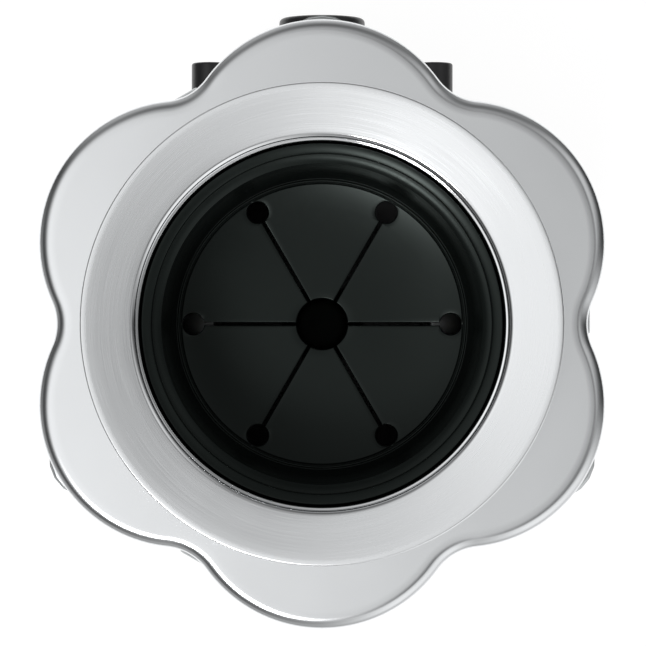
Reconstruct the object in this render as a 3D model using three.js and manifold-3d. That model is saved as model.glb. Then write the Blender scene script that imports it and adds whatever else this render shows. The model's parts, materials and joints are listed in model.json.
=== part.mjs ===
// Kitchen garbage disposal, hung under a sink by a three-bolt twist-lock mount.
// Millimetres, +Z up. The origin is on the axis, in the plane of the sink's top surface,
// so the drain flange stands above z = 0 and everything else hangs below it.
import * as THREE from 'three';
import { mergeVertices } from 'three/addons/utils/BufferGeometryUtils.js';
import Module from 'manifold-3d';

const wasm = await Module();
wasm.setup();

// ---------------------------------------------------------------- driving dimensions
const ROUND = 32; // flats round a large turned piece
const SMALL = 12; // flats round a small one
const GAP = 0.3; // clearance between pieces that touch
const DEG = Math.PI / 180;

// sink mount
const FLANGE_R = 57.15; // the usual 4 1/2 in drain flange
const FLANGE_TOP = 3.6;
const FLANGE_SHEET = 1.5;
const FLANGE_DISH = 1.2; // how much lower the face is at the throat than at its edge
const FLANGE_EDGE = 0.6; // chamfer round the outer edge
const THROAT_R = 43.3;
const TUBE_R = 44.2; // passes a 3 1/2 in sink hole
const TUBE_END = -41;
const ROLL_R = 3.1; // roll from the flange face down into the throat
const AROUND_TUBE_R = TUBE_R + GAP;
const SINK_THICKNESS = 6; // nominal stack of sink and sealant between the gaskets
const FIBER_THICKNESS = 2;
const GASKET_R = 54.5;
const BACKUP_R = 56.5;
const BACKUP_THICKNESS = 4;
const BACKUP_END = -SINK_THICKNESS - FIBER_THICKNESS - GAP - BACKUP_THICKNESS;

// six-lobed upper mounting ring
const LOBES = 6;
const LOBE_R = 35.12; // radius of one lobe's arc
const LOBE_CENTRE = 39.78; // how far out the arc is centred
const VALLEY_R = 65.3; // least radius, between two lobes
const PLATE_TOP = -24;
const PLATE_SHEET = 2;
const PLATE_BEND = 3; // outer radius of the rolled edge
const PLATE_SKIRT = 9; // depth of the down-turned skirt
const PLATE_UNDER = PLATE_TOP - PLATE_SHEET;

// twist lock: three ears on the lower ring, three ramped hooks on the upper one
const LOCKS = 3;
const FIRST_EAR = 90; // degrees
const EAR_TIP_R = 77.65;
const EAR_HALF = 9.6;
const RING_INNER = 49.9;
const RING_OUTER = 60;
const RING_TOP = -46.3;
const RING_SHEET = 2.5;
const RING_UNDER = RING_TOP - RING_SHEET;
const HOOK_INNER = 61;
const HOOK_OUTER = 67.5;
const HOOK_SHEET = 2.5;
const RAMP_END = 6; // tangential end of the ramp past the ear's middle
const RAMP_DROP = 1.5; // how much lower the ramp starts than it ends
const TAB_FACE = 67.83; // outer face of a wrench tab
const TAB_SHEET = 2;
const TAB_START = -2.4;
const TAB_LENGTH = 24;
const TAB_HEIGHT = 11;

// jack screws
const SCREW_CIRCLE = 51;
const SCREW_R = 3;
const SCREW_HEAD_R = 4.5;
const SCREW_HEAD_TOP = -31;
const SCREW_HEAD_END = -34.5;

// splash baffle
const BAFFLE_R = THROAT_R - 0.35;
const BAFFLE_TOP = -2;
const DISC_R = 34.8;
const DISC_TOP = -35;
const DISC_DISH = 2.2; // how much lower the disc is at its middle
const DISC_THICKNESS = 2.2;
const CENTRE_HOLE_R = 6.4;
const RELIEF_R = 2.7; // round end of a slit
const RELIEF_CIRCLE = 32;
const SLITS = 6;
const SLIT_WIDTH = 0.75;

// hopper and its clamp lip
const GASKET_LIP_R = 41.5;
const LIP_R = 55;
const LIP_TOP = -43;
const LIP_UNDER = -46;
const NECK_R = 49.3;
const NECK_BORE = 45;
const HOPPER_R = 64;
const HOPPER_BORE = 61;
const HOPPER_END = -118;
const BODY_FLANGE_R = 67.5;
const BODY_FLANGE = 5; // thickness of the joining flanges
const EARS = 4; // screwed ears round that joint
const EAR_CIRCLE = 68.3;
const EAR_R = 5;
const INLET_Z = -69;
const INLET_R = 11.1; // 7/8 in dishwasher drain hose
const INLET_BORE = 8.6;
const INLET_END = 79.3;

// grinding parts
const GRIND_TOP = -106;
const GRIND_END = -122;
const GRIND_TEETH = 20;
const GRIND_R = 57;
const GRIND_GULLET_R = 59;
const TABLE_R = 56.4;
const TABLE_TOP = -119;
const TABLE_SHEET = 2;
const TABLE_UNDER = TABLE_TOP - TABLE_SHEET;
const LUG_CIRCLE = 34;
const LUG_REACH = 19;
const LUG_BASE = TABLE_TOP + GAP;
const LUG_SHEET = 3;
const LUG_HEIGHT = 10;

// discharge chamber
const CHAMBER_TOP = HOPPER_END - GAP;
const CHAMBER_END = -172;
const CHAMBER_R = 66;
const CHAMBER_BORE = 62.5;
const CHAMBER_FLOOR = -168;
const SEAL_SEAT_R = 63.2; // rebate round the grind ring that holds the body seal
const PORT_Z = -150;
const PORT_BORE = 17;
const PORT_NECK_R = 21;
const PORT_FACE = 74.8;
const PORT_BOSS_R = 5.3;
const PORT_BOSS_X = 32.15;

// shaft line
const SHAFT_R = 5.7;
const ROTOR_BORE = SHAFT_R + GAP;
const STUD_R = 4.7;
const JOURNAL_R = 3.9;
const BEARING_TOP = -161;
const BEARING_END = -171;
const BEARING_R = 16;
const SEAL_R = 12.7;

// motor
const CAN_R = 46;
const CAN_WALL = 3;
const CAN_TOP = -176;
const CAN_END = -282.7;
const MAGNET_INNER = 37;
const MAGNET_SPAN = 140;
const CORE_R = 36.2;
const CORE_TOP = -193;
const CORE_END = -253;
const CORE_SLOTS = 12;
const SLOT_WIDTH = 6;
const SLOT_FLOOR = 21;
const COMMUTATOR_R = 14;
const COMMUTATOR_TOP = -262;
const COMMUTATOR_END = -276;
const BRUSH_Z = -269;
const BRUSH_HALF_HEIGHT = 4;
const BRUSH_HALF_WIDTH = 3;
const BRUSH_END = 27;
const HOLDER_END = 35;
const CARD_TOP = -274.8;
const FRAME_TOP = -283;
const FRAME_UNDER = -286;
const BOLT_CIRCLE = 53;
const BOLT_R = 2.5;

// outer housing
const HOUSING_R = 71;
const HOUSING_WALL = 3;
const HOUSING_END = -288;
const BASE = -312;
const BASE_FLOOR = -309;
const POST_CIRCLE = 52;
const COVER_SCREW_R = 2.3;
const BUTTON_X = 22;
const BUTTON_Y = 36;
const WIRING_X = [-54, -20];
const WIRING_HALF = 16;
const CORD_Z = -299;

// ---------------------------------------------------------------- finishes
const finish = (color, roughness, metalness) => ({ color, roughness, metalness });
const STAINLESS = finish(0xd2d4d6, 0.28, 1);
const SATIN_STEEL = finish(0xc4c7c9, 0.35, 1);
const ZINC_STEEL = finish(0xb4b8ba, 0.4, 1);
const BLACK_RUBBER = finish(0x141414, 0.45, 0);
const BLACK_PLASTIC = finish(0x1b1b1c, 0.5, 0);
const FIBER = finish(0x6d5a45, 0.9, 0);
const MOTOR_STEEL = finish(0x54585b, 0.5, 1);
const FERRITE = finish(0x2c2c2f, 0.8, 0);
const COPPER = finish(0xb06a3c, 0.4, 1);
const CARBON = finish(0x242424, 0.7, 0);
const BRASS = finish(0xb59a55, 0.4, 1);
const LAMINATE = finish(0x7a4f2c, 0.7, 0);
const RED_PLASTIC = finish(0xb3211b, 0.4, 0);
const GREEN_STEEL = finish(0x3d7a4a, 0.5, 0);

// ---------------------------------------------------------------- solids
/** A closed solid of a three.js geometry, its vertices welded and its faces pointing out. */
function solidOf(geometry) {
  const bare = new THREE.BufferGeometry();
  bare.setAttribute('position', geometry.getAttribute('position'));
  bare.setIndex(geometry.getIndex());
  const welded = mergeVertices(bare, 1e-4);
  const points = Float32Array.from(welded.getAttribute('position').array);
  const index = welded.getIndex().array;
  const corners = [];
  for (let i = 0; i < index.length; i += 3) {
    const [a, b, c] = [index[i], index[i + 1], index[i + 2]];
    if (a !== b && b !== c && c !== a) corners.push(a, b, c);
  }
  if (signedVolume(points, corners) < 0) corners.reverse();
  return new wasm.Manifold(new wasm.Mesh({
    numProp: 3,
    vertProperties: points,
    triVerts: Uint32Array.from(corners),
  }));
}

function signedVolume(points, corners) {
  const at = (i) => new THREE.Vector3().fromArray(points, 3 * i);
  let sum = 0;
  for (let i = 0; i < corners.length; i += 3) {
    sum += at(corners[i]).dot(at(corners[i + 1]).cross(at(corners[i + 2])));
  }
  return sum;
}

/** The three.js geometry of a solid. */
function geometryOf(solid) {
  const { vertProperties, triVerts } = solid.getMesh();
  const geometry = new THREE.BufferGeometry();
  geometry.setAttribute('position', new THREE.BufferAttribute(vertProperties, 3));
  geometry.setIndex(new THREE.BufferAttribute(triVerts, 1));
  geometry.computeVertexNormals();
  return geometry;
}

const join = (...solids) => solids.reduce((sum, one) => sum.add(one));
const cut = (solid, ...tools) => tools.reduce((rest, tool) => rest.subtract(tool), solid);

/** A [radius, z] profile turned about Z. */
function turned(profile, sides = ROUND) {
  const points = [...profile, profile[0]].map(([r, z]) => new THREE.Vector2(r, z));
  return solidOf(new THREE.LatheGeometry(points, sides).rotateX(Math.PI / 2));
}

const rod = (r, low, high, sides = SMALL) =>
  turned([[0, low], [r, low], [r, high], [0, high]], sides);

const pipe = (bore, r, low, high, sides = ROUND) =>
  turned([[bore, low], [r, low], [r, high], [bore, high]], sides);

/** A closed outline of [x, y] points. */
const outlineOf = (points) => new THREE.Shape(points.map(([x, y]) => new THREE.Vector2(x, y)));

/** A flat shape drawn in X and Y and raised from low to high. */
function raised(shape, low, high, curveSegments = 8) {
  const settings = { depth: high - low, bevelEnabled: false, curveSegments };
  return solidOf(new THREE.ExtrudeGeometry(shape, settings).translate(0, 0, low));
}

/** A box between two corners. */
function block([x0, y0, z0], [x1, y1, z1]) {
  const box = new THREE.BoxGeometry(x1 - x0, y1 - y0, z1 - z0);
  return solidOf(box.translate((x0 + x1) / 2, (y0 + y1) / 2, (z0 + z1) / 2));
}

/** A sector of a flat ring, raised from low to high. */
function ringSector(inner, outer, fromDeg, toDeg, low, high, steps) {
  const arc = (r, a, b) => Array.from({ length: steps + 1 }, (_, i) => {
    const angle = (a + ((b - a) * i) / steps) * DEG;
    return [r * Math.cos(angle), r * Math.sin(angle)];
  });
  return raised(outlineOf([...arc(outer, fromDeg, toDeg), ...arc(inner, toDeg, fromDeg)]), low, high);
}

const moved = (solid, x, y, z) => solid.translate([x, y, z]);
const spun = (solid, degrees) => solid.rotate([0, 0, degrees]);
/** A solid made along +Z laid along +Y, its middle at height z. */
const alongY = (solid, x, z) => solid.rotate([-90, 0, 0]).translate([x, 0, z]);
/** Copies of a solid spaced evenly about Z. */
const around = (solid, count, first = 0) =>
  Array.from({ length: count }, (_, i) => spun(solid, first + (360 * i) / count));

/** A solid skinned over closed rings of points; the last ring joins the first. */
function lofted(rings) {
  const count = rings[0].length;
  const corners = [];
  rings.forEach((_, i) => {
    const next = (i + 1) % rings.length;
    for (let j = 0; j < count; j += 1) {
      const k = (j + 1) % count;
      const [a, b, c, d] = [i * count + j, i * count + k, next * count + k, next * count + j];
      corners.push(a, b, c, a, c, d);
    }
  });
  const geometry = new THREE.BufferGeometry();
  geometry.setAttribute('position', new THREE.Float32BufferAttribute(rings.flat(2), 3));
  geometry.setIndex(corners);
  return solidOf(geometry);
}

// ---------------------------------------------------------------- sink mount
const ROLL_CENTRE = THROAT_R + ROLL_R;
const FACE_WIDTH = FLANGE_R - FLANGE_EDGE - ROLL_CENTRE;
/** Height of the flange's underside at radius r. */
const flangeUnder = (r) =>
  FLANGE_TOP - FLANGE_SHEET - FLANGE_DISH * (1 - (r - ROLL_CENTRE) / FACE_WIDTH);

function sinkFlange() {
  const slope = Math.atan(FLANGE_DISH / FACE_WIDTH) / DEG;
  const rollHeight = FLANGE_TOP - FLANGE_DISH - ROLL_R;
  const roll = [90 + slope, 135, 180].map((deg) => [
    ROLL_CENTRE + ROLL_R * Math.cos(deg * DEG),
    rollHeight + ROLL_R * Math.sin(deg * DEG),
  ]);
  const grooveFloor = TUBE_R - 0.4;
  const inner = flangeUnder(ROLL_CENTRE);
  const outer = flangeUnder(FLANGE_R);
  return turned([
    [THROAT_R, TUBE_END], [TUBE_R, TUBE_END],
    [TUBE_R, PLATE_UNDER - 2.8], [grooveFloor, PLATE_UNDER - 2.8],
    [grooveFloor, PLATE_UNDER], [TUBE_R, PLATE_UNDER],
    [TUBE_R, inner - 1.6], [ROLL_CENTRE, inner],
    [FLANGE_R - FLANGE_EDGE, outer], [FLANGE_R, outer + 0.5],
    [FLANGE_R, FLANGE_TOP - 0.5], [FLANGE_R - FLANGE_EDGE, FLANGE_TOP],
    ...roll,
  ]);
}

/** Tapered to lie under the dished flange. */
function flangeGasket() {
  const bore = ROLL_CENTRE + 0.4;
  return turned([
    [bore, 0], [GASKET_R, 0], [GASKET_R, flangeUnder(GASKET_R) - GAP], [bore, flangeUnder(bore) - GAP],
  ]);
}

const fiberGasket = () =>
  pipe(AROUND_TUBE_R, 56, -SINK_THICKNESS - FIBER_THICKNESS, -SINK_THICKNESS);

const backupFlange = () =>
  pipe(AROUND_TUBE_R, BACKUP_R, BACKUP_END, BACKUP_END + BACKUP_THICKNESS);

/** The six-lobed outline drawn in by inset: lobe arcs with tangent arcs in the valleys. */
function lobedOutline(inset) {
  const step = 180 / LOBES * DEG;
  const reach = VALLEY_R - LOBE_CENTRE * Math.cos(step);
  const side = LOBE_CENTRE * Math.sin(step);
  const fillet = (LOBE_R ** 2 - reach ** 2 - side ** 2) / (2 * (reach - LOBE_R));
  const valley = VALLEY_R + fillet;
  const half = Math.atan2(valley * Math.sin(step), valley * Math.cos(step) - LOBE_CENTRE);
  const points = [];
  const arc = (centre, toward, radius, from, to, steps) => {
    for (let i = 0; i < steps; i += 1) {
      const angle = toward + from + ((to - from) * i) / steps;
      points.push([
        centre * Math.cos(toward) + radius * Math.cos(angle),
        centre * Math.sin(toward) + radius * Math.sin(angle),
      ]);
    }
  };
  for (let lobe = 0; lobe < LOBES; lobe += 1) {
    const toward = (2 * lobe + 1) * step;
    const turn = half - step;
    arc(LOBE_CENTRE, toward, LOBE_R - inset, -half, half, 8);
    arc(valley, toward + step, fillet + inset, Math.PI + turn, Math.PI - turn, 2);
  }
  return points;
}

/** One loop of the pressed ring: the outline drawn in by inset, at height z. */
const lobedLoop = (inset, z) => lobedOutline(inset).map(([x, y]) => [x, y, z]);

/** The loop round the tube, its points at the same bearings as the outline's. */
const tubeLoop = (z) => lobedOutline(0).map(([x, y]) => {
  const scale = (AROUND_TUBE_R + 0.2) / Math.hypot(x, y);
  return [x * scale, y * scale, z];
});

/** A hook that hangs from the upper ring: a stop leg and a ramp for one ear of the lower ring. */
function rampHook() {
  const stop = -EAR_HALF - 0.5;
  const back = stop - HOOK_SHEET;
  const ramp = RING_UNDER - GAP;
  const profile = outlineOf([
    [back, PLATE_UNDER + 1], [stop, PLATE_UNDER + 1], [stop, ramp], [RAMP_END, ramp - RAMP_DROP],
    [RAMP_END, ramp - RAMP_DROP - 2], [back, ramp - RAMP_DROP - 2],
  ]);
  // drawn in tangent and height, raised along the radius
  return raised(profile, HOOK_INNER, HOOK_OUTER).rotate([90, 0, 90]);
}

function upperMountingRing() {
  const bend = (radius, deg) => lobedLoop(
    PLATE_BEND - radius * Math.sin(deg * DEG),
    PLATE_TOP - PLATE_BEND + radius * Math.cos(deg * DEG),
  );
  const inner = PLATE_BEND - PLATE_SHEET;
  const plate = lofted([
    tubeLoop(PLATE_TOP),
    ...[0, 45, 90].map((deg) => bend(PLATE_BEND, deg)),
    lobedLoop(0, PLATE_TOP - PLATE_SKIRT),
    lobedLoop(PLATE_SHEET, PLATE_TOP - PLATE_SKIRT),
    ...[90, 0].map((deg) => bend(inner, deg)),
    tubeLoop(PLATE_UNDER),
  ]);
  const collar = moved(rod(SCREW_R + 1.4, PLATE_UNDER - 3, PLATE_UNDER + 1), SCREW_CIRCLE, 0, 0);
  const hole = moved(rod(SCREW_R + GAP, PLATE_UNDER - 4, PLATE_TOP + 1), SCREW_CIRCLE, 0, 0);
  return cut(
    join(plate, ...around(rampHook(), LOCKS, FIRST_EAR), ...around(collar, LOCKS, FIRST_EAR - 60)),
    ...around(hole, LOCKS, FIRST_EAR - 60),
  );
}

const snapRing = () =>
  ringSector(TUBE_R - 0.1, TUBE_R + 2.1, 8, 352, PLATE_UNDER - 2.5, PLATE_UNDER - GAP, 28);

function mountingScrew() {
  const tip = BACKUP_END - GAP;
  const body = turned([
    [0, SCREW_HEAD_END], [SCREW_HEAD_R - 0.8, SCREW_HEAD_END], [SCREW_HEAD_R, SCREW_HEAD_END + 0.6],
    [SCREW_HEAD_R, SCREW_HEAD_TOP], [SCREW_R, SCREW_HEAD_TOP], [SCREW_R, tip - 1.4],
    [SCREW_R - 1.2, tip], [0, tip],
  ], SMALL);
  return cut(body, block([-5, -0.6, SCREW_HEAD_END - 1], [5, 0.6, SCREW_HEAD_END + 1.5]));
}

function mountingGasket() {
  const under = TUBE_END - GAP;
  return turned([
    [GASKET_LIP_R, LIP_TOP + GAP], [LIP_R - 1, LIP_TOP + GAP], [LIP_R - 1, under + 0.1],
    [SCREW_CIRCLE - SCREW_HEAD_R - GAP, under + 0.1], [46, TUBE_END + 5], [AROUND_TUBE_R, TUBE_END + 5],
    [AROUND_TUBE_R, under], [GASKET_LIP_R, under],
  ]);
}

function lowerMountingRing() {
  const ear = join(
    moved(rod(EAR_HALF, RING_UNDER, RING_TOP, 20), EAR_TIP_R - EAR_HALF, 0, 0),
    block([RING_OUTER - 6, -EAR_HALF, RING_UNDER], [EAR_TIP_R - EAR_HALF, EAR_HALF, RING_TOP]),
  );
  const tab = join(
    block(
      [TAB_FACE - TAB_SHEET, TAB_START, RING_TOP - TAB_HEIGHT],
      [TAB_FACE, TAB_START + TAB_LENGTH, RING_TOP],
    ),
    block(
      [RING_OUTER - 6, TAB_START, RING_UNDER],
      [TAB_FACE - 1, TAB_START + TAB_LENGTH, RING_TOP],
    ),
  );
  return join(
    pipe(RING_INNER, RING_OUTER, RING_UNDER, RING_TOP),
    ...around(ear, LOCKS, FIRST_EAR),
    ...around(tab, LOCKS, FIRST_EAR + 30),
  );
}

// ---------------------------------------------------------------- splash baffle
function splashBaffle() {
  const middle = DISC_TOP - DISC_DISH;
  const skirt = BAFFLE_R - 2.35;
  const halfway = [DISC_R * 0.6, DISC_TOP - DISC_DISH * 0.64];
  const shell = turned([
    [CENTRE_HOLE_R, middle - DISC_THICKNESS], [halfway[0], halfway[1] - DISC_THICKNESS],
    [DISC_R, DISC_TOP - DISC_THICKNESS],
    [skirt, DISC_TOP - DISC_THICKNESS], [skirt, TUBE_END], [BAFFLE_R, TUBE_END],
    [BAFFLE_R, BAFFLE_TOP - 1], [BAFFLE_R - 0.8, BAFFLE_TOP], [BAFFLE_R - 1.8, BAFFLE_TOP],
    [BAFFLE_R - 2.4, BAFFLE_TOP - 1], [BAFFLE_R - 2.4, BAFFLE_TOP - 3.5],
    [BAFFLE_R - 3.5, BAFFLE_TOP - 3.9], [BAFFLE_R - 4.6, BAFFLE_TOP - 7.5],
    [BAFFLE_R - 5.4, DISC_TOP + 7], [DISC_R + 0.5, DISC_TOP + 1.6], [DISC_R, DISC_TOP],
    halfway, [CENTRE_HOLE_R, middle],
  ]);
  const low = middle - DISC_THICKNESS - 1;
  const high = DISC_TOP + 0.8;
  const slit = block([CENTRE_HOLE_R - 1, -SLIT_WIDTH / 2, low], [RELIEF_CIRCLE, SLIT_WIDTH / 2, high]);
  const relief = moved(rod(RELIEF_R, low, high, 12), RELIEF_CIRCLE, 0, 0);
  return cut(shell, ...around(join(slit, relief), SLITS));
}

// ---------------------------------------------------------------- hopper
function hopper() {
  const shell = turned([
    [HOPPER_BORE, HOPPER_END], [BODY_FLANGE_R, HOPPER_END], [BODY_FLANGE_R, HOPPER_END + BODY_FLANGE],
    [HOPPER_R, HOPPER_END + BODY_FLANGE], [HOPPER_R, -62], [62.5, -57.5], [57, -53.8],
    [NECK_R, -53], [NECK_R, LIP_UNDER], [LIP_R, LIP_UNDER], [LIP_R, LIP_TOP], [NECK_BORE, LIP_TOP],
    [NECK_BORE, -55.5], [55.5, -57], [60, -60], [HOPPER_BORE, -64],
  ]);
  const inside = join(
    rod(HOPPER_BORE, HOPPER_END - 1, -63.9, ROUND),
    rod(55, HOPPER_END - 1, -57.3, ROUND),
  );
  const inlet = alongY(join(rod(INLET_R, 55, INLET_END, 24), rod(INLET_R + 2, 55, 66.5, 24)), 0, INLET_Z);
  const bore = alongY(rod(INLET_BORE, 50, INLET_END + 1, 24), 0, INLET_Z);
  const ear = moved(rod(EAR_R, HOPPER_END, HOPPER_END + BODY_FLANGE), EAR_CIRCLE, 0, 0);
  const hole = moved(rod(COVER_SCREW_R + GAP, HOPPER_END - 1, -112), EAR_CIRCLE, 0, 0);
  const outside = cut(join(inlet, ...around(ear, EARS, 45)), inside);
  return cut(join(shell, outside), bore, ...around(hole, EARS, 45));
}

/** Knock-out plug that closes the dishwasher inlet until a hose is fitted. */
const dishwasherPlug = () => alongY(rod(INLET_BORE - GAP, 61.5, 64, 20), 0, INLET_Z);

function hopperScrew() {
  const seat = HOPPER_END + BODY_FLANGE + GAP;
  return turned([
    [0, -126], [COVER_SCREW_R, -126], [COVER_SCREW_R, seat], [4.2, seat], [4.2, seat + 2.6],
    [3.4, seat + 3.2], [0, seat + 3.2],
  ], SMALL);
}

const hopperSeal = () => pipe(HOPPER_BORE + GAP, SEAL_SEAT_R - GAP, CHAMBER_TOP - 1.6, CHAMBER_TOP);

// ---------------------------------------------------------------- grinding parts
/** Fixed ring with upright teeth on its bore, against which the lugs throw the waste. */
function grindRing() {
  const shape = new THREE.Shape();
  shape.absarc(0, 0, HOPPER_BORE - GAP, 0, 2 * Math.PI);
  const pitch = (2 * Math.PI) / GRIND_TEETH;
  const bore = Array.from({ length: GRIND_TEETH }, (_, i) => [
    [GRIND_R, 0], [GRIND_R, 0.45], [GRIND_GULLET_R, 0.6], [GRIND_GULLET_R, 0.85],
  ].map(([r, part]) => new THREE.Vector2(r, 0).rotateAround(new THREE.Vector2(), (i + part) * pitch)));
  shape.holes.push(new THREE.Path(bore.flat()));
  return raised(shape, GRIND_END, GRIND_TOP, ROUND / 2);
}

function turntable() {
  const disc = turned([
    [ROTOR_BORE, TABLE_UNDER - 6], [12, TABLE_UNDER - 6], [12, TABLE_UNDER], [TABLE_R, TABLE_UNDER],
    [TABLE_R, TABLE_TOP], [STUD_R + GAP, TABLE_TOP], [STUD_R + GAP, TABLE_UNDER],
    [ROTOR_BORE, TABLE_UNDER],
  ]);
  const rivetHole = moved(rod(3 + GAP, TABLE_UNDER - 1, TABLE_TOP + 1), LUG_CIRCLE, 0, 0);
  const drain = moved(rod(2, TABLE_UNDER - 1, TABLE_TOP + 1, 6), 45, 0, 0);
  return cut(disc, ...around(rivetHole, 2), ...around(drain, 4, 45));
}

/** Swivelling lug: a flat tail on its pivot and an upright striking face at the far end. */
function impellerLug() {
  const outline = outlineOf([
    [LUG_REACH, -5], [LUG_REACH, 5], [3, 6.5], [-3, 6.5], [-6.5, 3], [-6.5, -3], [-3, -6.5], [3, -6.5],
  ]);
  return cut(
    join(
      raised(outline, 0, LUG_SHEET),
      block([LUG_REACH - 5, -5, 0], [LUG_REACH, 5, LUG_HEIGHT]),
    ),
    rod(3 + GAP, -1, LUG_SHEET + 1),
  );
}

function lugRivet() {
  const overLug = LUG_BASE + LUG_SHEET + GAP;
  const underTable = TABLE_UNDER - GAP;
  return turned([
    [0, underTable - 2], [4.4, underTable - 2], [5, underTable - 1], [5, underTable], [3, underTable],
    [3, overLug], [5, overLug], [5, overLug + 1], [4.2, overLug + 2], [0, overLug + 2],
  ], SMALL);
}

function turntableNut() {
  return cut(
    rod(8.1, TABLE_TOP + GAP, -113, 6),
    rod(STUD_R + GAP, TABLE_TOP - 1, -112),
  );
}

/** Moulded cap that keeps waste off the nut and the end of the shaft. */
function hubCap() {
  return turned([
    [8.5, TABLE_TOP + GAP], [10.4, TABLE_TOP + GAP], [10.4, -112], [8.6, -109.4], [0, -108.6],
    [0, -109.7], [5.2, -109.7], [8.5, -112.7],
  ], 16);
}

// ---------------------------------------------------------------- discharge chamber
function dischargeChamber() {
  const seat = GRIND_END - GAP;
  const shell = turned([
    [BEARING_R + GAP, CHAMBER_END], [69.5, CHAMBER_END], [69.5, -169], [CHAMBER_R, -164],
    [CHAMBER_R, CHAMBER_TOP - BODY_FLANGE], [BODY_FLANGE_R, CHAMBER_TOP - BODY_FLANGE],
    [BODY_FLANGE_R, CHAMBER_TOP], [SEAL_SEAT_R, CHAMBER_TOP], [SEAL_SEAT_R, CHAMBER_TOP - 1.9],
    [HOPPER_BORE, CHAMBER_TOP - 1.9], [HOPPER_BORE, seat], [58.8, seat], [58.8, seat - 3.2],
    [CHAMBER_BORE, -130], [CHAMBER_BORE, -165], [59, CHAMBER_FLOOR], [19, CHAMBER_FLOOR], [17.5, -136],
    [SEAL_R + GAP, -136], [SEAL_R + GAP, BEARING_TOP + 1], [BEARING_R + GAP, BEARING_TOP + 1],
  ]);
  const inside = join(
    rod(CHAMBER_BORE, -165, -130, ROUND),
    rod(58.8, CHAMBER_FLOOR, -120, ROUND),
  );
  const boss = (x) => alongY(rod(PORT_BOSS_R, 40, PORT_FACE, 20), x, PORT_Z);
  const web = block([-PORT_BOSS_X, PORT_FACE - 5, PORT_Z - 4], [PORT_BOSS_X, PORT_FACE, PORT_Z + 4]);
  const outlet = join(
    alongY(rod(PORT_NECK_R, 40, PORT_FACE, 32), 0, PORT_Z),
    boss(PORT_BOSS_X), boss(-PORT_BOSS_X), web,
  );
  const screwHole = (x) => alongY(rod(2.2, PORT_FACE - 14, PORT_FACE + 1, 10), x, PORT_Z);
  const ear = moved(rod(EAR_R, -129, CHAMBER_TOP), EAR_CIRCLE, 0, 0);
  const earHole = moved(rod(COVER_SCREW_R + GAP, -126.5, CHAMBER_TOP + 1), EAR_CIRCLE, 0, 0);
  const boltBoss = moved(rod(5.5, CHAMBER_END - 10, CHAMBER_END + 1), BOLT_CIRCLE, 0, 0);
  const boltHole = moved(rod(BOLT_R + GAP, CHAMBER_END - 11, CHAMBER_END - 0.8), BOLT_CIRCLE, 0, 0);
  const outside = cut(join(outlet, ...around(ear, EARS, 45)), inside);
  return cut(
    join(shell, outside, ...around(boltBoss, 2, 90)),
    alongY(rod(PORT_BORE, 45, PORT_FACE + 1, 32), 0, PORT_Z),
    screwHole(PORT_BOSS_X), screwHole(-PORT_BOSS_X),
    ...around(earHole, EARS, 45),
    ...around(boltHole, 2, 90),
  );
}

const shaftSeal = () => pipe(ROTOR_BORE, SEAL_R, -147, -138, 16);
const upperBearing = () => pipe(ROTOR_BORE, BEARING_R, BEARING_END, BEARING_TOP, 16);

// ---------------------------------------------------------------- motor
function motorShaft() {
  return turned([
    [0, -291.3], [JOURNAL_R, -291.3], [JOURNAL_R, -281], [SHAFT_R, -280], [SHAFT_R, TABLE_UNDER - GAP],
    [STUD_R, TABLE_UNDER - GAP], [STUD_R, -110.6], [STUD_R - 0.6, -110], [0, -110],
  ], SMALL);
}

function motorCan() {
  const bore = CAN_R - CAN_WALL;
  return turned([
    [bore, CAN_END], [CAN_R, CAN_END], [CAN_R, CAN_TOP - 2], [CAN_R - 2, CAN_TOP], [14, CAN_TOP],
    [14, CAN_TOP - 2.5], [bore, CAN_TOP - 2.5],
  ]);
}

const magnet = () => ringSector(
  MAGNET_INNER, CAN_R - CAN_WALL - GAP, -MAGNET_SPAN / 2, MAGNET_SPAN / 2, -258, -188, 12,
);

/** The bars that fill the armature's slots, or with a clearance added, the slots themselves. */
function slotBars(clearance, outer, low, high) {
  const half = SLOT_WIDTH / 2 - GAP - 0.1 + clearance;
  return around(block([SLOT_FLOOR + GAP - clearance, -half, low], [outer, half, high]), CORE_SLOTS);
}

const armatureCore = () => cut(
  pipe(ROTOR_BORE, CORE_R, CORE_END, CORE_TOP, 36),
  ...slotBars(GAP + 0.1, CORE_R + 1, CORE_END - 1, CORE_TOP + 1),
);

function armatureWindings() {
  const endTurns = (low, high) => turned([
    [9, low], [30, low], [33.5, low + 2], [33.5, high - 2], [30, high], [9, high],
  ], 20);
  return join(
    endTurns(CORE_TOP + GAP, -184),
    endTurns(-261, CORE_END - GAP),
    ...slotBars(0, 33.5, -255, -191),
  );
}

/** Copper ring with a narrow cut between every two bars. */
function commutator() {
  const pitch = 360 / CORE_SLOTS;
  const slit = block([COMMUTATOR_R - 1.2, -0.35, -280], [COMMUTATOR_R + 1, 0.35, -260]);
  return cut(
    pipe(ROTOR_BORE, COMMUTATOR_R, COMMUTATOR_END, COMMUTATOR_TOP, 24),
    ...around(slit, CORE_SLOTS, pitch / 2),
  );
}

const brush = () => block(
  [COMMUTATOR_R + 0.4, -BRUSH_HALF_WIDTH, -BRUSH_HALF_HEIGHT],
  [BRUSH_END, BRUSH_HALF_WIDTH, BRUSH_HALF_HEIGHT],
);

function brushHolder() {
  const width = BRUSH_HALF_WIDTH + GAP;
  const height = BRUSH_HALF_HEIGHT + GAP;
  return cut(
    block([17, -width - 1.2, -height - 1.2], [HOLDER_END, width + 1.2, height + 1.2]),
    block([16, -width, -height], [HOLDER_END - 1, width, height]),
  );
}

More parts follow.
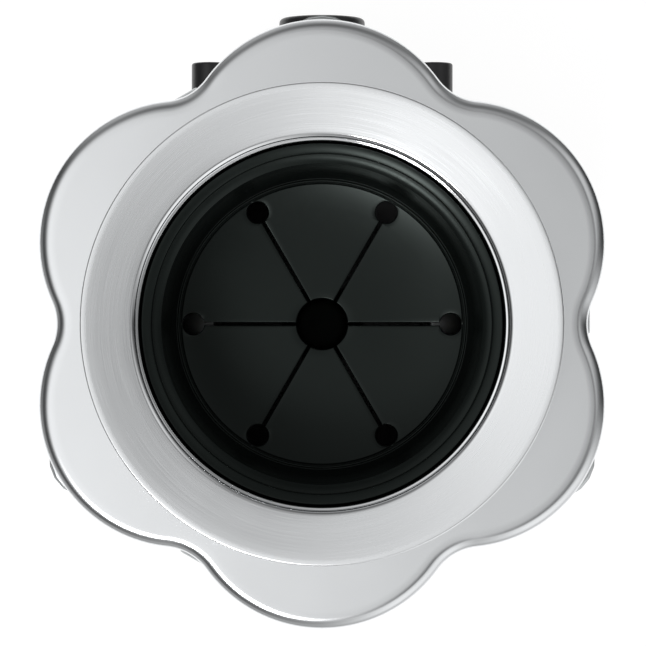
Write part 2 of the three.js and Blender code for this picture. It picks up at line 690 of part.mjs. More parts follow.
/** Coil spring behind a brush. */
function brushSpring() {
  class Helix extends THREE.Curve {
    getPoint(t, target = new THREE.Vector3()) {
      const angle = 3 * 2 * Math.PI * t;
      return target.set(BRUSH_END + 0.8 + 5.4 * t, 2 * Math.cos(angle), 2 * Math.sin(angle));
    }
  }
  const wire = new THREE.Shape().absarc(0, 0, 0.35, 0, 2 * Math.PI);
  const settings = { steps: 24, extrudePath: new Helix(), curveSegments: 2, bevelEnabled: false };
  return solidOf(new THREE.ExtrudeGeometry(wire, settings));
}

const brushCard = () => pipe(15, 41.5, CARD_TOP - 2.5, CARD_TOP, 32);

function lowerEndFrame() {
  const plate = turned([
    [0, -293.5], [14, -293.5], [14.5, FRAME_UNDER], [60, FRAME_UNDER], [60, FRAME_TOP],
    [11.3, FRAME_TOP], [11.3, -292], [0, -292],
  ]);
  const hole = (r, x, y) => moved(rod(r, FRAME_UNDER - 1, FRAME_TOP + 1, 12), x, y, 0);
  return cut(
    plate,
    ...around(hole(BOLT_R + GAP, BOLT_CIRCLE, 0), 2, 90),
    ...around(hole(COVER_SCREW_R + GAP, POST_CIRCLE, 0), 3),
    hole(2.1, -36, 8),
  );
}

const lowerBearing = () => pipe(JOURNAL_R + GAP, 11, -291.7, -284, 16);

const throughBolt = () => join(
  rod(BOLT_R, -288, CHAMBER_END - 1.3, 12),
  rod(5, -290.3, FRAME_UNDER - GAP, 6),
);

// ---------------------------------------------------------------- housing and base
function motorHousing() {
  const bore = HOUSING_R - HOUSING_WALL;
  return turned([
    [bore, HOUSING_END], [HOUSING_R, HOUSING_END], [HOUSING_R, -177], [69.5, CHAMBER_END - GAP],
    [66.5, CHAMBER_END - GAP], [bore, -177],
  ]);
}

function bottomCover() {
  const dish = turned([
    [0, BASE], [60, BASE], [66.5, -309], [69.5, -303], [HOUSING_R, HOUSING_END - GAP],
    [HOUSING_R - HOUSING_WALL, HOUSING_END - GAP], [66.5, -302.5], [63.5, -306.5], [58, BASE_FLOOR],
    [0, BASE_FLOOR],
  ]);
  const post = moved(rod(7, BASE_FLOOR - 1, FRAME_UNDER - 1), POST_CIRCLE, 0, 0);
  const postHole = moved(rod(COVER_SCREW_R + GAP, BASE - 1, FRAME_UNDER), POST_CIRCLE, 0, 0);
  const counterbore = moved(rod(5, BASE - 1, BASE + 4), POST_CIRCLE, 0, 0);
  const [near, far] = WIRING_X;
  const screwBoss = moved(rod(4, BASE_FLOOR - 1, -302, 12), far - 5, 0, 0);
  return cut(
    join(dish, ...around(post, 3), screwBoss),
    ...around(postHole, 3),
    ...around(counterbore, 3),
    moved(rod(5, BASE - 1, BASE_FLOOR + 1), BUTTON_X, BUTTON_Y, 0),
    block([near - GAP, -WIRING_HALF - GAP, BASE - 1], [far + GAP, WIRING_HALF + GAP, BASE + 2]),
    block([near + 4, -12, BASE - 1], [far - 10, 12, BASE_FLOOR + 1]),
    moved(rod(2.1, BASE - 1, -303, 12), far - 5, 0, 0),
    rod(8.3, 60, 75, 20).rotate([0, -90, 0]).translate([0, 0, CORD_Z]),
  );
}

function coverScrew() {
  return turned([
    [0, BASE + 0.2], [3.8, BASE + 0.2], [4.6, BASE + 0.8], [4.6, BASE + 3.7], [COVER_SCREW_R, BASE + 3.7],
    [COVER_SCREW_R, -280.6], [COVER_SCREW_R - 0.6, -280], [0, -280],
  ], 12);
}

const wiringCover = () => {
  const [near, far] = WIRING_X;
  return cut(
    block([near, -WIRING_HALF, BASE + 0.1], [far, WIRING_HALF, BASE + 1.7]),
    moved(rod(3.5, BASE - 1, BASE + 3, 12), far - 5, 0, 0),
  );
};

const wiringCoverScrew = () => moved(
  turned([[0, BASE + 0.2], [3.2, BASE + 0.2], [3.2, BASE + 1.7], [1.8, BASE + 1.7], [1.8, -304], [0, -304]], 12),
  WIRING_X[1] - 5, 0, 0,
);

const groundScrew = () => moved(
  turned([
    [0, -289.2], [3.4, -289.2], [4, -288.4], [4, FRAME_UNDER - GAP], [1.8, FRAME_UNDER - GAP],
    [1.8, -280.5], [0, -280.5],
  ], 12),
  -36, 8, 0,
);

/** Rubber bushing in the wall that the power cord passes through. */
function cordBushing() {
  return turned([
    [4.5, 64], [8, 64], [8, 71.3], [10, 71.3], [10, 73], [9.4, 73.6], [4.5, 73.6],
  ], 20).rotate([0, -90, 0]).translate([0, 0, CORD_Z]);
}

const overloadProtector = () => cut(
  block([-9, -7, BASE_FLOOR + GAP], [9, 7, -296]),
  rod(2.2, BASE_FLOOR - 1, -299, 12),
);

const resetButton = () => turned([
  [0, BASE + 0.4], [4, BASE + 0.4], [4.6, BASE + 1], [4.6, BASE_FLOOR], [1.8, BASE_FLOOR], [1.8, -300],
  [0, -300],
], SMALL);

const rectifier = () => block([-13, -13, BASE_FLOOR + GAP], [13, 13, -299.7]);

// ---------------------------------------------------------------- assembly
/** A named mesh with a material of its own. */
function piece(name, solid, { color, roughness, metalness }) {
  const material = new THREE.MeshStandardMaterial({ color, roughness, metalness, name });
  const mesh = new THREE.Mesh(geometryOf(solid), material);
  mesh.name = name;
  return mesh;
}

/** The same piece at several bearings about Z, out at the given radius, numbered from 1. */
function ringOf(name, solid, look, bearings, radius = 0) {
  return bearings.map((degrees, i) => {
    const copy = piece(`${name}_${i + 1}`, solid, look);
    copy.position.set(radius * Math.cos(degrees * DEG), radius * Math.sin(degrees * DEG), 0);
    copy.rotation.z = degrees * DEG;
    return copy;
  });
}

function group(...children) {
  const parent = new THREE.Group();
  parent.add(...children.flat());
  return parent;
}

function placed(child, x, y, z) {
  child.position.set(x, y, z);
  return child;
}

const sinkMount = group(
  piece('sink_flange', sinkFlange(), STAINLESS),
  piece('flange_gasket', flangeGasket(), BLACK_RUBBER),
  piece('fiber_gasket', fiberGasket(), FIBER),
  piece('backup_flange', backupFlange(), ZINC_STEEL),
  piece('upper_mounting_ring', upperMountingRing(), SATIN_STEEL),
  piece('snap_ring', snapRing(), ZINC_STEEL),
  ringOf('mounting_screw', mountingScrew(), ZINC_STEEL, [30, 150, 270], SCREW_CIRCLE),
  piece('lower_mounting_ring', lowerMountingRing(), ZINC_STEEL),
  piece('mounting_gasket', mountingGasket(), BLACK_RUBBER),
  piece('splash_baffle', splashBaffle(), BLACK_RUBBER),
);

const grindChamber = group(
  piece('hopper', hopper(), BLACK_PLASTIC),
  piece('dishwasher_plug', dishwasherPlug(), BLACK_PLASTIC),
  ringOf('hopper_screw', hopperScrew(), ZINC_STEEL, [45, 135, 225, 315], EAR_CIRCLE),
  piece('hopper_seal', hopperSeal(), BLACK_RUBBER),
  piece('grind_ring', grindRing(), STAINLESS),
  piece('discharge_chamber', dischargeChamber(), BLACK_PLASTIC),
  piece('shaft_seal', shaftSeal(), BLACK_RUBBER),
  piece('upper_bearing', upperBearing(), MOTOR_STEEL),
);

const lugs = ringOf('impeller_lug', impellerLug(), STAINLESS, [0, 180], LUG_CIRCLE);
lugs.forEach((lug) => { lug.position.z = LUG_BASE; });

const rotor = group(
  piece('turntable', turntable(), STAINLESS),
  lugs,
  ringOf('lug_rivet', lugRivet(), ZINC_STEEL, [0, 180], LUG_CIRCLE),
  piece('turntable_nut', turntableNut(), ZINC_STEEL),
  piece('hub_cap', hubCap(), BLACK_RUBBER),
  piece('motor_shaft', motorShaft(), MOTOR_STEEL),
  piece('armature_core', armatureCore(), MOTOR_STEEL),
  piece('armature_windings', armatureWindings(), COPPER),
  piece('commutator', commutator(), COPPER),
);

const brushGear = group(
  ringOf('brush', brush(), CARBON, [0, 180]),
  ringOf('brush_holder', brushHolder(), BRASS, [0, 180]),
  ringOf('brush_spring', brushSpring(), ZINC_STEEL, [0, 180]),
);
placed(brushGear, 0, 0, BRUSH_Z);

const motor = group(
  piece('motor_can', motorCan(), MOTOR_STEEL),
  ringOf('magnet', magnet(), FERRITE, [90, 270]),
  brushGear,
  piece('brush_card', brushCard(), LAMINATE),
  piece('lower_end_frame', lowerEndFrame(), MOTOR_STEEL),
  piece('lower_bearing', lowerBearing(), MOTOR_STEEL),
  ringOf('through_bolt', throughBolt(), ZINC_STEEL, [90, 270], BOLT_CIRCLE),
);

const base = group(
  piece('motor_housing', motorHousing(), BLACK_PLASTIC),
  piece('bottom_cover', bottomCover(), BLACK_PLASTIC),
  ringOf('cover_screw', coverScrew(), ZINC_STEEL, [0, 120, 240], POST_CIRCLE),
  piece('wiring_cover', wiringCover(), ZINC_STEEL),
  piece('wiring_cover_screw', wiringCoverScrew(), ZINC_STEEL),
  piece('ground_screw', groundScrew(), GREEN_STEEL),
  piece('cord_bushing', cordBushing(), BLACK_RUBBER),
  placed(piece('overload_protector', overloadProtector(), BLACK_PLASTIC), BUTTON_X, BUTTON_Y, 0),
  placed(piece('reset_button', resetButton(), RED_PLASTIC), BUTTON_X, BUTTON_Y, 0),
  placed(piece('rectifier', rectifier(), BLACK_PLASTIC), 19, -34, 0),
);

export default group(sinkMount, grindChamber, rotor, motor, base);
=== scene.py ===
"""Visual model of a kitchen garbage disposal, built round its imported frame.

Sizes in the sub-assemblies are millimetres and become metres as each mesh is made. Finishes and
the studio are in metres. +Z is up, the origin is on the drain axis in the plane of the sink's top
surface, and +Y points towards the dishwasher inlet and the discharge port.
"""

from __future__ import annotations

import json
import logging
import math
from abc import ABC, abstractmethod
from dataclasses import dataclass, field
from enum import Enum
from functools import cached_property
from typing import Any, Sequence

import bmesh
import bpy
from mathutils import Matrix, Vector

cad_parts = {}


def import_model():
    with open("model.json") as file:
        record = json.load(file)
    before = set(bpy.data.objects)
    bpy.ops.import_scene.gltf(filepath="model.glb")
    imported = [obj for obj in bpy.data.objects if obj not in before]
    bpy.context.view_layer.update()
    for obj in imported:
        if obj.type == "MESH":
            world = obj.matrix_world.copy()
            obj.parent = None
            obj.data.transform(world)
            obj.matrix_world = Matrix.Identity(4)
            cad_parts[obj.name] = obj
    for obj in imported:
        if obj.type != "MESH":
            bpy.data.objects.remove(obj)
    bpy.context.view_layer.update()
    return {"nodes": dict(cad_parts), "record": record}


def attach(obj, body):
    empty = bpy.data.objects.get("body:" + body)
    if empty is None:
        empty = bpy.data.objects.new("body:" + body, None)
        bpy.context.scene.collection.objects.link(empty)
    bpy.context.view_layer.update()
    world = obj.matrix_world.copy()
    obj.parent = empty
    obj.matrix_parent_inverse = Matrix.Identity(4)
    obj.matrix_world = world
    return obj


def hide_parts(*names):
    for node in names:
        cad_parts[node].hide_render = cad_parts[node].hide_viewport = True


LOG = logging.getLogger("disposal")
MM = 0.001
TAU = 2 * math.pi
WHITE = (1.0, 1.0, 1.0, 1.0)

CLOSE = 1e-6  # a length that counts as nothing
MERGED = 1e-4  # points closer than this, in millimetres, become one
MERGED_AFTER_CUT = 2e-7  # the same in metres, once solids have been combined
SMOOTH_ANGLE = 32.0  # an edge that turns less than this, in degrees, is shaded smooth
BEVEL_ANGLE = 35.0  # an edge that turns more than this is given its bevel
CORNER_SHARE = 0.49  # how much of each neighbouring edge a rounded corner may take up

Profile = Sequence[tuple[float, ...]]
Ring = list[bmesh.types.BMVert]

ALONG_RADIUS = Matrix(((0, 0, 1), (1, 0, 0), (0, 1, 0))).to_4x4()  # x, y, depth -> Y, Z, X
ALONG_TANGENT = Matrix(((1, 0, 0), (0, 0, -1), (0, 1, 0))).to_4x4()  # x, y, depth -> X, Z, -Y
LAID_BACK = Matrix(((1, 0, 0), (0, 0, 1), (0, -1, 0))).to_4x4()  # turned about Z -> about +Y
LAID_LEFT = Matrix(((0, 0, -1), (0, 1, 0), (1, 0, 0))).to_4x4()  # turned about Z -> about -X


class Body(Enum):
    """The bodies that pieces ride on."""

    ROOT = "disposal_body"
    ROTOR = "rotor"
    LUG_1 = "lug_1"
    LUG_2 = "lug_2"
    LOCK_RING = "lock_ring"
    SCREW_1 = "jack_screw_1"
    SCREW_2 = "jack_screw_2"
    SCREW_3 = "jack_screw_3"
    BAFFLE = "baffle"
    RESET = "reset"


class Slot(Enum):
    """The record's material slots."""

    STAINLESS_FLANGE = "stainless_flange"
    SATIN_STEEL = "satin_steel"
    ZINC_STEEL = "zinc_steel"
    STAINLESS_GRIND = "stainless_grind"
    BAFFLE_RUBBER = "baffle_rubber"
    SEAL_RUBBER = "seal_rubber"
    FIBER = "fiber"
    BLACK_PLASTIC = "black_plastic"
    RED_PLASTIC = "red_plastic"
    MOTOR_STEEL = "motor_steel"
    BEARING_STEEL = "bearing_steel"
    FERRITE = "ferrite"
    COPPER = "copper"
    CARBON = "carbon"
    BRASS = "brass"
    LAMINATE = "laminate"
    GREEN_SCREW = "green_screw"


class Grain(Enum):
    """How a metal surface has been brushed."""

    ROUND = "round"
    STRAIGHT = "straight"
    NONE = "none"


class Cut(Enum):
    """How two solids are combined."""

    UNION = "UNION"
    DIFFERENCE = "DIFFERENCE"


# ------------------------------------------------------------------------------ node trees
class Nodes:
    """A node tree under construction."""

    def __init__(self, tree: bpy.types.NodeTree) -> None:
        """Start in an empty tree.

        Args:
            tree: The tree to build in. Its default nodes are removed.
        """
        self.tree = tree
        tree.nodes.clear()

    def add(self, kind: str, inputs: dict[Any, Any] | None = None, **settings: Any) -> bpy.types.Node:
        """Add a node.

        Args:
            kind: The node's type name.
            inputs: Values or output sockets, by input name or index.
            **settings: Properties of the node.

        Returns:
            The new node.
        """
        node = self.tree.nodes.new(kind)
        for key, value in settings.items():
            setattr(node, key, value)
        for key, value in (inputs or {}).items():
            self.put(node.inputs[key], value)
        return node

    def put(self, socket: bpy.types.NodeSocket, value: Any) -> None:
        """Link an output to a socket, or set the socket's value.

        Args:
            socket: The input socket.
            value: An output socket or a plain value.
        """
        if isinstance(value, bpy.types.NodeSocket):
            self.tree.links.new(value, socket)
        else:
            socket.default_value = value

    def math(self, operation: str, first: Any, second: Any = 0.0, third: Any = 0.0) -> Any:
        """Return the result of a Math node on up to three values."""
        node = self.add("ShaderNodeMath", {0: first, 1: second, 2: third}, operation=operation)
        return node.outputs[0]

    def vector(self, operation: str, first: Any, second: Any = (0.0, 0.0, 0.0)) -> Any:
        """Return the result of a Vector Math node."""
        node = self.add("ShaderNodeVectorMath", {0: first, 1: second}, operation=operation)
        return node.outputs["Value" if operation in ("LENGTH", "DOT_PRODUCT") else "Vector"]

    def scaled(self, vector: Any, factor: Any) -> Any:
        """Return a vector times a number."""
        node = self.add("ShaderNodeVectorMath", {0: vector, "Scale": factor}, operation="SCALE")
        return node.outputs["Vector"]

    def split(self, vector: Any) -> Any:
        """Return the three component sockets of a vector."""
        return self.add("ShaderNodeSeparateXYZ", {0: vector}).outputs

    def joined(self, x: Any = 0.0, y: Any = 0.0, z: Any = 0.0) -> Any:
        """Return a vector made of three numbers."""
        return self.add("ShaderNodeCombineXYZ", {0: x, 1: y, 2: z}).outputs[0]

    def span(
        self, value: Any, low: float, high: float, start: float, end: float, smooth: bool = False
    ) -> Any:
        """Map a value from one range to another, clamped.

        Args:
            value: The value's socket.
            low: Start of the source range.
            high: End of the source range.
            start: Result at low.
            end: Result at high.
            smooth: Whether the change eases in and out.

        Returns:
            The result socket.
        """
        node = self.add(
            "ShaderNodeMapRange",
            {"Value": value, "From Min": low, "From Max": high, "To Min": start, "To Max": end},
            interpolation_type="SMOOTHSTEP" if smooth else "LINEAR",
        )
        return node.outputs[0]

    def noise(self, vector: Any, scale: float, detail: float = 3.0, roughness: float = 0.55) -> Any:
        """Return the factor of a noise texture."""
        inputs = {"Vector": vector, "Scale": scale, "Detail": detail, "Roughness": roughness}
        return self.add("ShaderNodeTexNoise", inputs).outputs[0]

    def shades(self, factor: Any, *stops: tuple[float, Sequence[float]]) -> Any:
        """Return a colour ramp's colour.

        Args:
            factor: The place along the ramp.
            *stops: Pairs of place and RGB colour, in order.

        Returns:
            The colour socket.
        """
        node = self.add("ShaderNodeValToRGB", {0: factor})
        elements = node.color_ramp.elements
        elements.remove(elements[1])
        elements[0].position, elements[0].color = stops[0][0], (*stops[0][1], 1.0)
        for place, colour in stops[1:]:
            elements.new(place).color = (*colour, 1.0)
        return node.outputs[0]


def tinted(colour: Sequence[float], factor: float) -> tuple[float, float, float]:
    """Return an RGB colour times a factor."""
    return (colour[0] * factor, colour[1] * factor, colour[2] * factor)


# ------------------------------------------------------------------------------ finishes
@dataclass(frozen=True)
class Finish(ABC):
    """A surface finish that makes its own material."""

    name: str
    colour: tuple[float, float, float]

    @cached_property
    def material(self) -> bpy.types.Material:
        """The finish's material, made once.

        Returns:
            The material.
        """
        material = bpy.data.materials.new(self.name)
        material.use_nodes = True
        nodes = Nodes(material.node_tree)
        shader = nodes.add("ShaderNodeBsdfPrincipled")
        place = nodes.add("ShaderNodeTexCoord").outputs["Object"]
        self.paint(nodes, shader, place)
        nodes.add("ShaderNodeOutputMaterial", {"Surface": shader.outputs[0]})
        return material

    @abstractmethod
    def paint(self, nodes: Nodes, shader: bpy.types.Node, place: Any) -> None:
        """Set the shader's inputs.

        Args:
            nodes: The material's nodes.
            shader: The principled shader.
            place: Object coordinates.
        """

    @staticmethod
    def bump(nodes: Nodes, shader: bpy.types.Node, height: Any, distance: float, strength: float) -> None:
        """Give the shader a bumped normal from a height in the range 0 to 1 and a depth in metres."""
        inputs = {"Height": height, "Distance": distance, "Strength": strength}
        nodes.put(shader.inputs["Normal"], nodes.add("ShaderNodeBump", inputs).outputs[0])


@dataclass(frozen=True)
class Steel(Finish):
    """Bare or plated steel, brushed round its axis, along a line, or not at all."""

    roughness: float
    grain: Grain = Grain.NONE
    contrast: float = 0.05  # how much the grain changes the colour
    lines: float = 5200.0  # grain lines per metre
    stretch: float = 90.0  # how far one line runs, as a multiple of its width
    anisotropy: float = 0.0
    relief: float = 4e-6
    cloud: float = 0.03  # slow change of colour over the surface
    polished: float = 0.0  # radius inside which a round-brushed sheet is left polished
    polish: float = 0.10  # roughness there
    polish_blend: float = 4e-4  # how wide the change from polished to brushed is
    round_size: float = 0.05  # radius at which a round-brushed line has its stretch

    def brushed_round(self, nodes: Nodes, shader: bpy.types.Node, place: Any) -> tuple[Any, Any]:
        """Brush the metal round its axis.

        Args:
            nodes: The material's nodes.
            shader: The principled shader.
            place: Object coordinates.

        Returns:
            Where each point is in the grain, and how brushed it is from 0 to 1.
        """
        flat = nodes.vector("MULTIPLY", place, (1.0, 1.0, 0.0))
        radius = nodes.vector("LENGTH", flat)
        bearing = nodes.vector("NORMALIZE", flat)
        lengthways = nodes.scaled(bearing, self.round_size * self.lines / self.stretch)
        across = nodes.joined(z=nodes.math("MULTIPLY", radius, self.lines))
        nodes.put(shader.inputs["Tangent"], bearing)
        shader.inputs["Anisotropic"].default_value = self.anisotropy
        start, end = self.polished - self.polish_blend / 2, self.polished + self.polish_blend / 2
        return nodes.vector("ADD", lengthways, across), nodes.span(radius, start, end, 0.0, 1.0)

    def paint(self, nodes: Nodes, shader: bpy.types.Node, place: Any) -> None:
        """Set a metal's colour, roughness, grain and brushing direction.

        Args:
            nodes: The material's nodes.
            shader: The principled shader.
            place: Object coordinates.
        """
        shader.inputs["Metallic"].default_value = 1.0
        brushed: Any = None
        if self.grain is Grain.ROUND:
            position, brushed = self.brushed_round(nodes, shader, place)
        elif self.grain is Grain.STRAIGHT:
            along = self.lines / self.stretch
            position = nodes.vector("MULTIPLY", place, (along, self.lines, self.lines))
        else:
            position = nodes.scaled(place, self.lines)
        grain = nodes.noise(position, 1.0, 4.0, 0.62)
        cloud = nodes.noise(place, 22.0, 3.0)
        shade = nodes.math(
            "ADD",
            nodes.span(grain, 0.3, 0.7, -self.contrast, self.contrast),
            nodes.span(cloud, 0.3, 0.7, 1.0 - self.cloud, 1.0 + self.cloud),
        )
        nodes.put(shader.inputs["Base Color"], nodes.scaled(self.colour, shade))
        rough = nodes.math(
            "ADD",
            nodes.span(grain, 0.3, 0.7, 0.86 * self.roughness, 1.14 * self.roughness),
            nodes.span(cloud, 0.35, 0.7, 0.0, 0.12 * self.roughness),
        )
        if brushed is not None:
            extra = nodes.math("SUBTRACT", rough, self.polish)
            rough = nodes.math("MULTIPLY_ADD", extra, brushed, self.polish)
        nodes.put(shader.inputs["Roughness"], rough)
        self.bump(nodes, shader, grain, self.relief, 0.6)


@dataclass(frozen=True)
class Rubber(Finish):
    """Moulded rubber: a smooth skin with a soft bloom that dulls it in patches."""

    roughness: float
    bloom: float = 0.25  # how much duller the patches are
    relief: float = 1.2e-5
    shine: float = 0.5  # specular level
    tint: tuple[float, float, float, float] = (0.86, 1.0, 0.95, 1.0)  # colour of the shine

    def paint(self, nodes: Nodes, shader: bpy.types.Node, place: Any) -> None:
        """Set a rubber's colour, gloss and skin.

        Args:
            nodes: The material's nodes.
            shader: The principled shader.
            place: Object coordinates.
        """
        shader.inputs["Specular IOR Level"].default_value = self.shine
        shader.inputs["Specular Tint"].default_value = self.tint
        skin = nodes.noise(place, 900.0, 4.0, 0.6)
        patch = nodes.noise(place, 45.0, 4.0)
        dark, light = tinted(self.colour, 0.85), tinted(self.colour, 1.25)
        nodes.put(shader.inputs["Base Color"], nodes.shades(patch, (0.3, dark), (0.75, light)))
        dulled = nodes.span(patch, 0.35, 0.7, self.roughness, self.roughness * (1.0 + self.bloom))
        rough = nodes.math("ADD", dulled, nodes.span(skin, 0.3, 0.7, -0.02, 0.02))
        nodes.put(shader.inputs["Roughness"], rough)
        self.bump(nodes, shader, skin, self.relief, 0.5)


@dataclass(frozen=True)
class Moulding(Finish):
    """Moulded plastic with a spark-eroded grain."""

    roughness: float
    grain: float = 1800.0  # grain cells per metre
    relief: float = 3.5e-5

    def paint(self, nodes: Nodes, shader: bpy.types.Node, place: Any) -> None:
        """Set a moulding's colour, gloss and grain.

        Args:
            nodes: The material's nodes.
            shader: The principled shader.
            place: Object coordinates.
        """
        inputs = {"Vector": place, "Scale": self.grain, "Randomness": 1.0}
        cells = nodes.add("ShaderNodeTexVoronoi", inputs, feature="SMOOTH_F1").outputs["Distance"]
        fine = nodes.noise(place, 2.2 * self.grain, 2.0)
        flow = nodes.noise(place, 30.0, 3.0)
        height = nodes.math("ADD", cells, nodes.math("MULTIPLY", fine, 0.4))
        dark, light = tinted(self.colour, 0.88), tinted(self.colour, 1.18)
        nodes.put(shader.inputs["Base Color"], nodes.shades(flow, (0.3, dark), (0.72, light)))
        rough = nodes.span(flow, 0.3, 0.7, self.roughness - 0.04, self.roughness + 0.05)
        nodes.put(shader.inputs["Roughness"], rough)
        self.bump(nodes, shader, height, self.relief, 0.5)


@dataclass(frozen=True)
class Pressed(Finish):
    """A matt, grainy body: pressed fibre, ferrite, carbon or laminate."""

    roughness: float
    speck: float = 1500.0  # specks per metre
    contrast: float = 0.3
    layers: tuple[float, float, float] = (120.0, 120.0, 2600.0)  # flakes per metre along each axis
    relief: float = 6e-5

    def paint(self, nodes: Nodes, shader: bpy.types.Node, place: Any) -> None:
        """Set a pressed body's specks and relief.

        Args:
            nodes: The material's nodes.
            shader: The principled shader.
            place: Object coordinates.
        """
        speck = nodes.noise(place, self.speck, 5.0, 0.7)
        layer = nodes.noise(nodes.vector("MULTIPLY", place, self.layers), 1.0, 3.0)
        mixed = nodes.math("ADD", nodes.math("MULTIPLY", speck, 0.7), nodes.math("MULTIPLY", layer, 0.3))
        dark, light = tinted(self.colour, 1 - self.contrast), tinted(self.colour, 1 + self.contrast)
        nodes.put(shader.inputs["Base Color"], nodes.shades(mixed, (0.32, dark), (0.68, light)))
        rough = nodes.span(speck, 0.3, 0.7, self.roughness - 0.08, self.roughness + 0.05)
        nodes.put(shader.inputs["Roughness"], rough)
        self.bump(nodes, shader, mixed, self.relief, 0.6)


FINISHES: dict[Slot, Finish] = {
    Slot.STAINLESS_FLANGE: Steel(
        "brushed_flange", (0.85, 0.866, 0.88), 0.24, Grain.ROUND, contrast=0.032, lines=7000.0,
        stretch=160.0, anisotropy=0.35, relief=2.5e-6, cloud=0.01, polished=0.0453,
    ),
    Slot.SATIN_STEEL: Steel(
        "satin_plate", (0.80, 0.816, 0.83), 0.20, contrast=0.012, lines=9000.0, relief=1e-6
    ),
    Slot.ZINC_STEEL: Steel("zinc_plate", (0.60, 0.62, 0.625), 0.36, lines=2600.0, cloud=0.06),
    # Colour set far darker than bare stainless steel: painted shade, so the turntable, lugs and grind ring
    # inside the chamber read black through the baffle's holes.
    Slot.STAINLESS_GRIND: Steel(
        "grind_stainless_painted_shade", (0.07, 0.071, 0.072), 0.45, Grain.ROUND, contrast=0.06, lines=3500.0,
        stretch=60.0, anisotropy=0.4,
    ),
    Slot.BAFFLE_RUBBER: Rubber(
        "baffle_rubber", (0.0028, 0.0038, 0.0035), 0.30, bloom=0.12, relief=4e-6, shine=0.23
    ),
    Slot.SEAL_RUBBER: Rubber("seal_rubber", (0.016, 0.016, 0.0165), 0.5, bloom=0.2, relief=2.5e-5),
    Slot.FIBER: Pressed("pressed_fibre", (0.36, 0.28, 0.20), 0.9, speck=900.0, contrast=0.22),
    Slot.BLACK_PLASTIC: Moulding("black_moulding", (0.017, 0.017, 0.018), 0.36),
    Slot.RED_PLASTIC: Moulding("red_moulding", (0.55, 0.03, 0.02), 0.25, grain=900.0, relief=4e-6),
    Slot.MOTOR_STEEL: Steel(
        "motor_steel", (0.30, 0.31, 0.32), 0.48, contrast=0.08, lines=1800.0, cloud=0.1
    ),
    Slot.BEARING_STEEL: Steel(
        "bearing_steel", (0.58, 0.59, 0.60), 0.25, Grain.ROUND, contrast=0.04, lines=6000.0,
        stretch=80.0, anisotropy=0.3,
    ),
    Slot.FERRITE: Pressed("ferrite", (0.045, 0.045, 0.05), 0.75),
    Slot.COPPER: Steel(
        "varnished_copper", (0.62, 0.28, 0.12), 0.34, contrast=0.15, lines=1400.0, cloud=0.12
    ),
    Slot.CARBON: Pressed("carbon", (0.03, 0.03, 0.03), 0.62, speck=2200.0),
    Slot.BRASS: Steel(
        "stamped_brass", (0.66, 0.50, 0.22), 0.34, Grain.STRAIGHT, contrast=0.06, lines=3000.0
    ),
    Slot.LAMINATE: Pressed("laminate", (0.26, 0.13, 0.055), 0.6, speck=700.0, contrast=0.35),
    Slot.GREEN_SCREW: Steel("green_zinc", (0.10, 0.42, 0.17), 0.4, contrast=0.06, lines=2600.0),
}


# ------------------------------------------------------------------------------ mesh tools
def rounded(profile: Profile, steps: int = 5) -> list[tuple[float, float]]:
    """Round the corners of a closed outline.

    Args:
        profile: Points of two numbers, or of three where the third is the corner's radius. A
            corner of radius 0 stays sharp.
        steps: Segments in each rounded corner.

    Returns:
        The outline with its arcs.
    """
    outline: list[tuple[float, float]] = []
    for i, (x, y, *rest) in enumerate(profile):
        here = Vector((x, y))
        before = Vector(profile[i - 1][:2]) - here
        after = Vector(profile[(i + 1) % len(profile)][:2]) - here
        if not any(rest) or before.length < CLOSE or after.length < CLOSE:
            outline.append((x, y))
            continue
        half = before.angle(after) / 2
        room = CORNER_SHARE * min(before.length, after.length)
        reach = min(rest[0] / math.tan(half), room)
        size = reach * math.tan(half)
        before.normalize()
        after.normalize()
        centre = here + (before + after).normalized() * (size / math.sin(half))
        start, end = here + before * reach - centre, here + after * reach - centre
        sweep = math.pi - 2 * half
        for k in range(steps + 1):
            part = k / steps
            arm = (start * math.sin((1 - part) * sweep) + end * math.sin(part * sweep)) / math.sin(sweep)
            outline.append((centre.x + arm.x, centre.y + arm.y))
    return outline


def skin(mesh: bmesh.types.BMesh, first: Ring, second: Ring) -> None:
    """Join two rings of points with faces.

    Args:
        mesh: The mesh.
        first: One ring, or a single point for a pole.
        second: The other ring, or a single point.
    """
    count = max(len(first), len(second))
    if count < 2:
        return
    for i in range(count):
        j = (i + 1) % count
        near = [first[i % len(first)], first[j % len(first)]]
        far = [second[j % len(second)], second[i % len(second)]]
        mesh.faces.new(list(dict.fromkeys(near + far)))


def shade(mesh: bmesh.types.BMesh) -> None:
    """Shade faces smooth, with an edge kept sharp where it turns too much.

    Args:
        mesh: The mesh.
    """
    for face in mesh.faces:
        face.smooth = True
    for edge in mesh.edges:
        sharp = edge.calc_face_angle(0.0) > math.radians(SMOOTH_ANGLE)
        edge.smooth = not (len(edge.link_faces) == 2 and sharp)


def finished(name: str, mesh: bmesh.types.BMesh, bevel: float = 0.0) -> bpy.types.Object:
    """Turn a mesh in millimetres into an object in metres.

    Args:
        name: The object's name.
        mesh: The mesh, which is freed.
        bevel: Width in millimetres of a rounding on every sharp edge.

    Returns:
        The object, linked to the scene.
    """
    bmesh.ops.remove_doubles(mesh, verts=mesh.verts, dist=MERGED)
    if bevel:
        edges = [e for e in mesh.edges if e.calc_face_angle(0.0) > math.radians(BEVEL_ANGLE)]
        bmesh.ops.bevel(
            mesh, geom=edges, offset=bevel, segments=3, profile=0.5, affect="EDGES", clamp_overlap=True
        )
    bmesh.ops.recalc_face_normals(mesh, faces=mesh.faces)
    shade(mesh)
    bmesh.ops.scale(mesh, vec=(MM, MM, MM), verts=mesh.verts)
    data = bpy.data.meshes.new(name)
    mesh.to_mesh(data)
    mesh.free()
    piece = bpy.data.objects.new(name, data)
    bpy.context.scene.collection.objects.link(piece)
    return piece


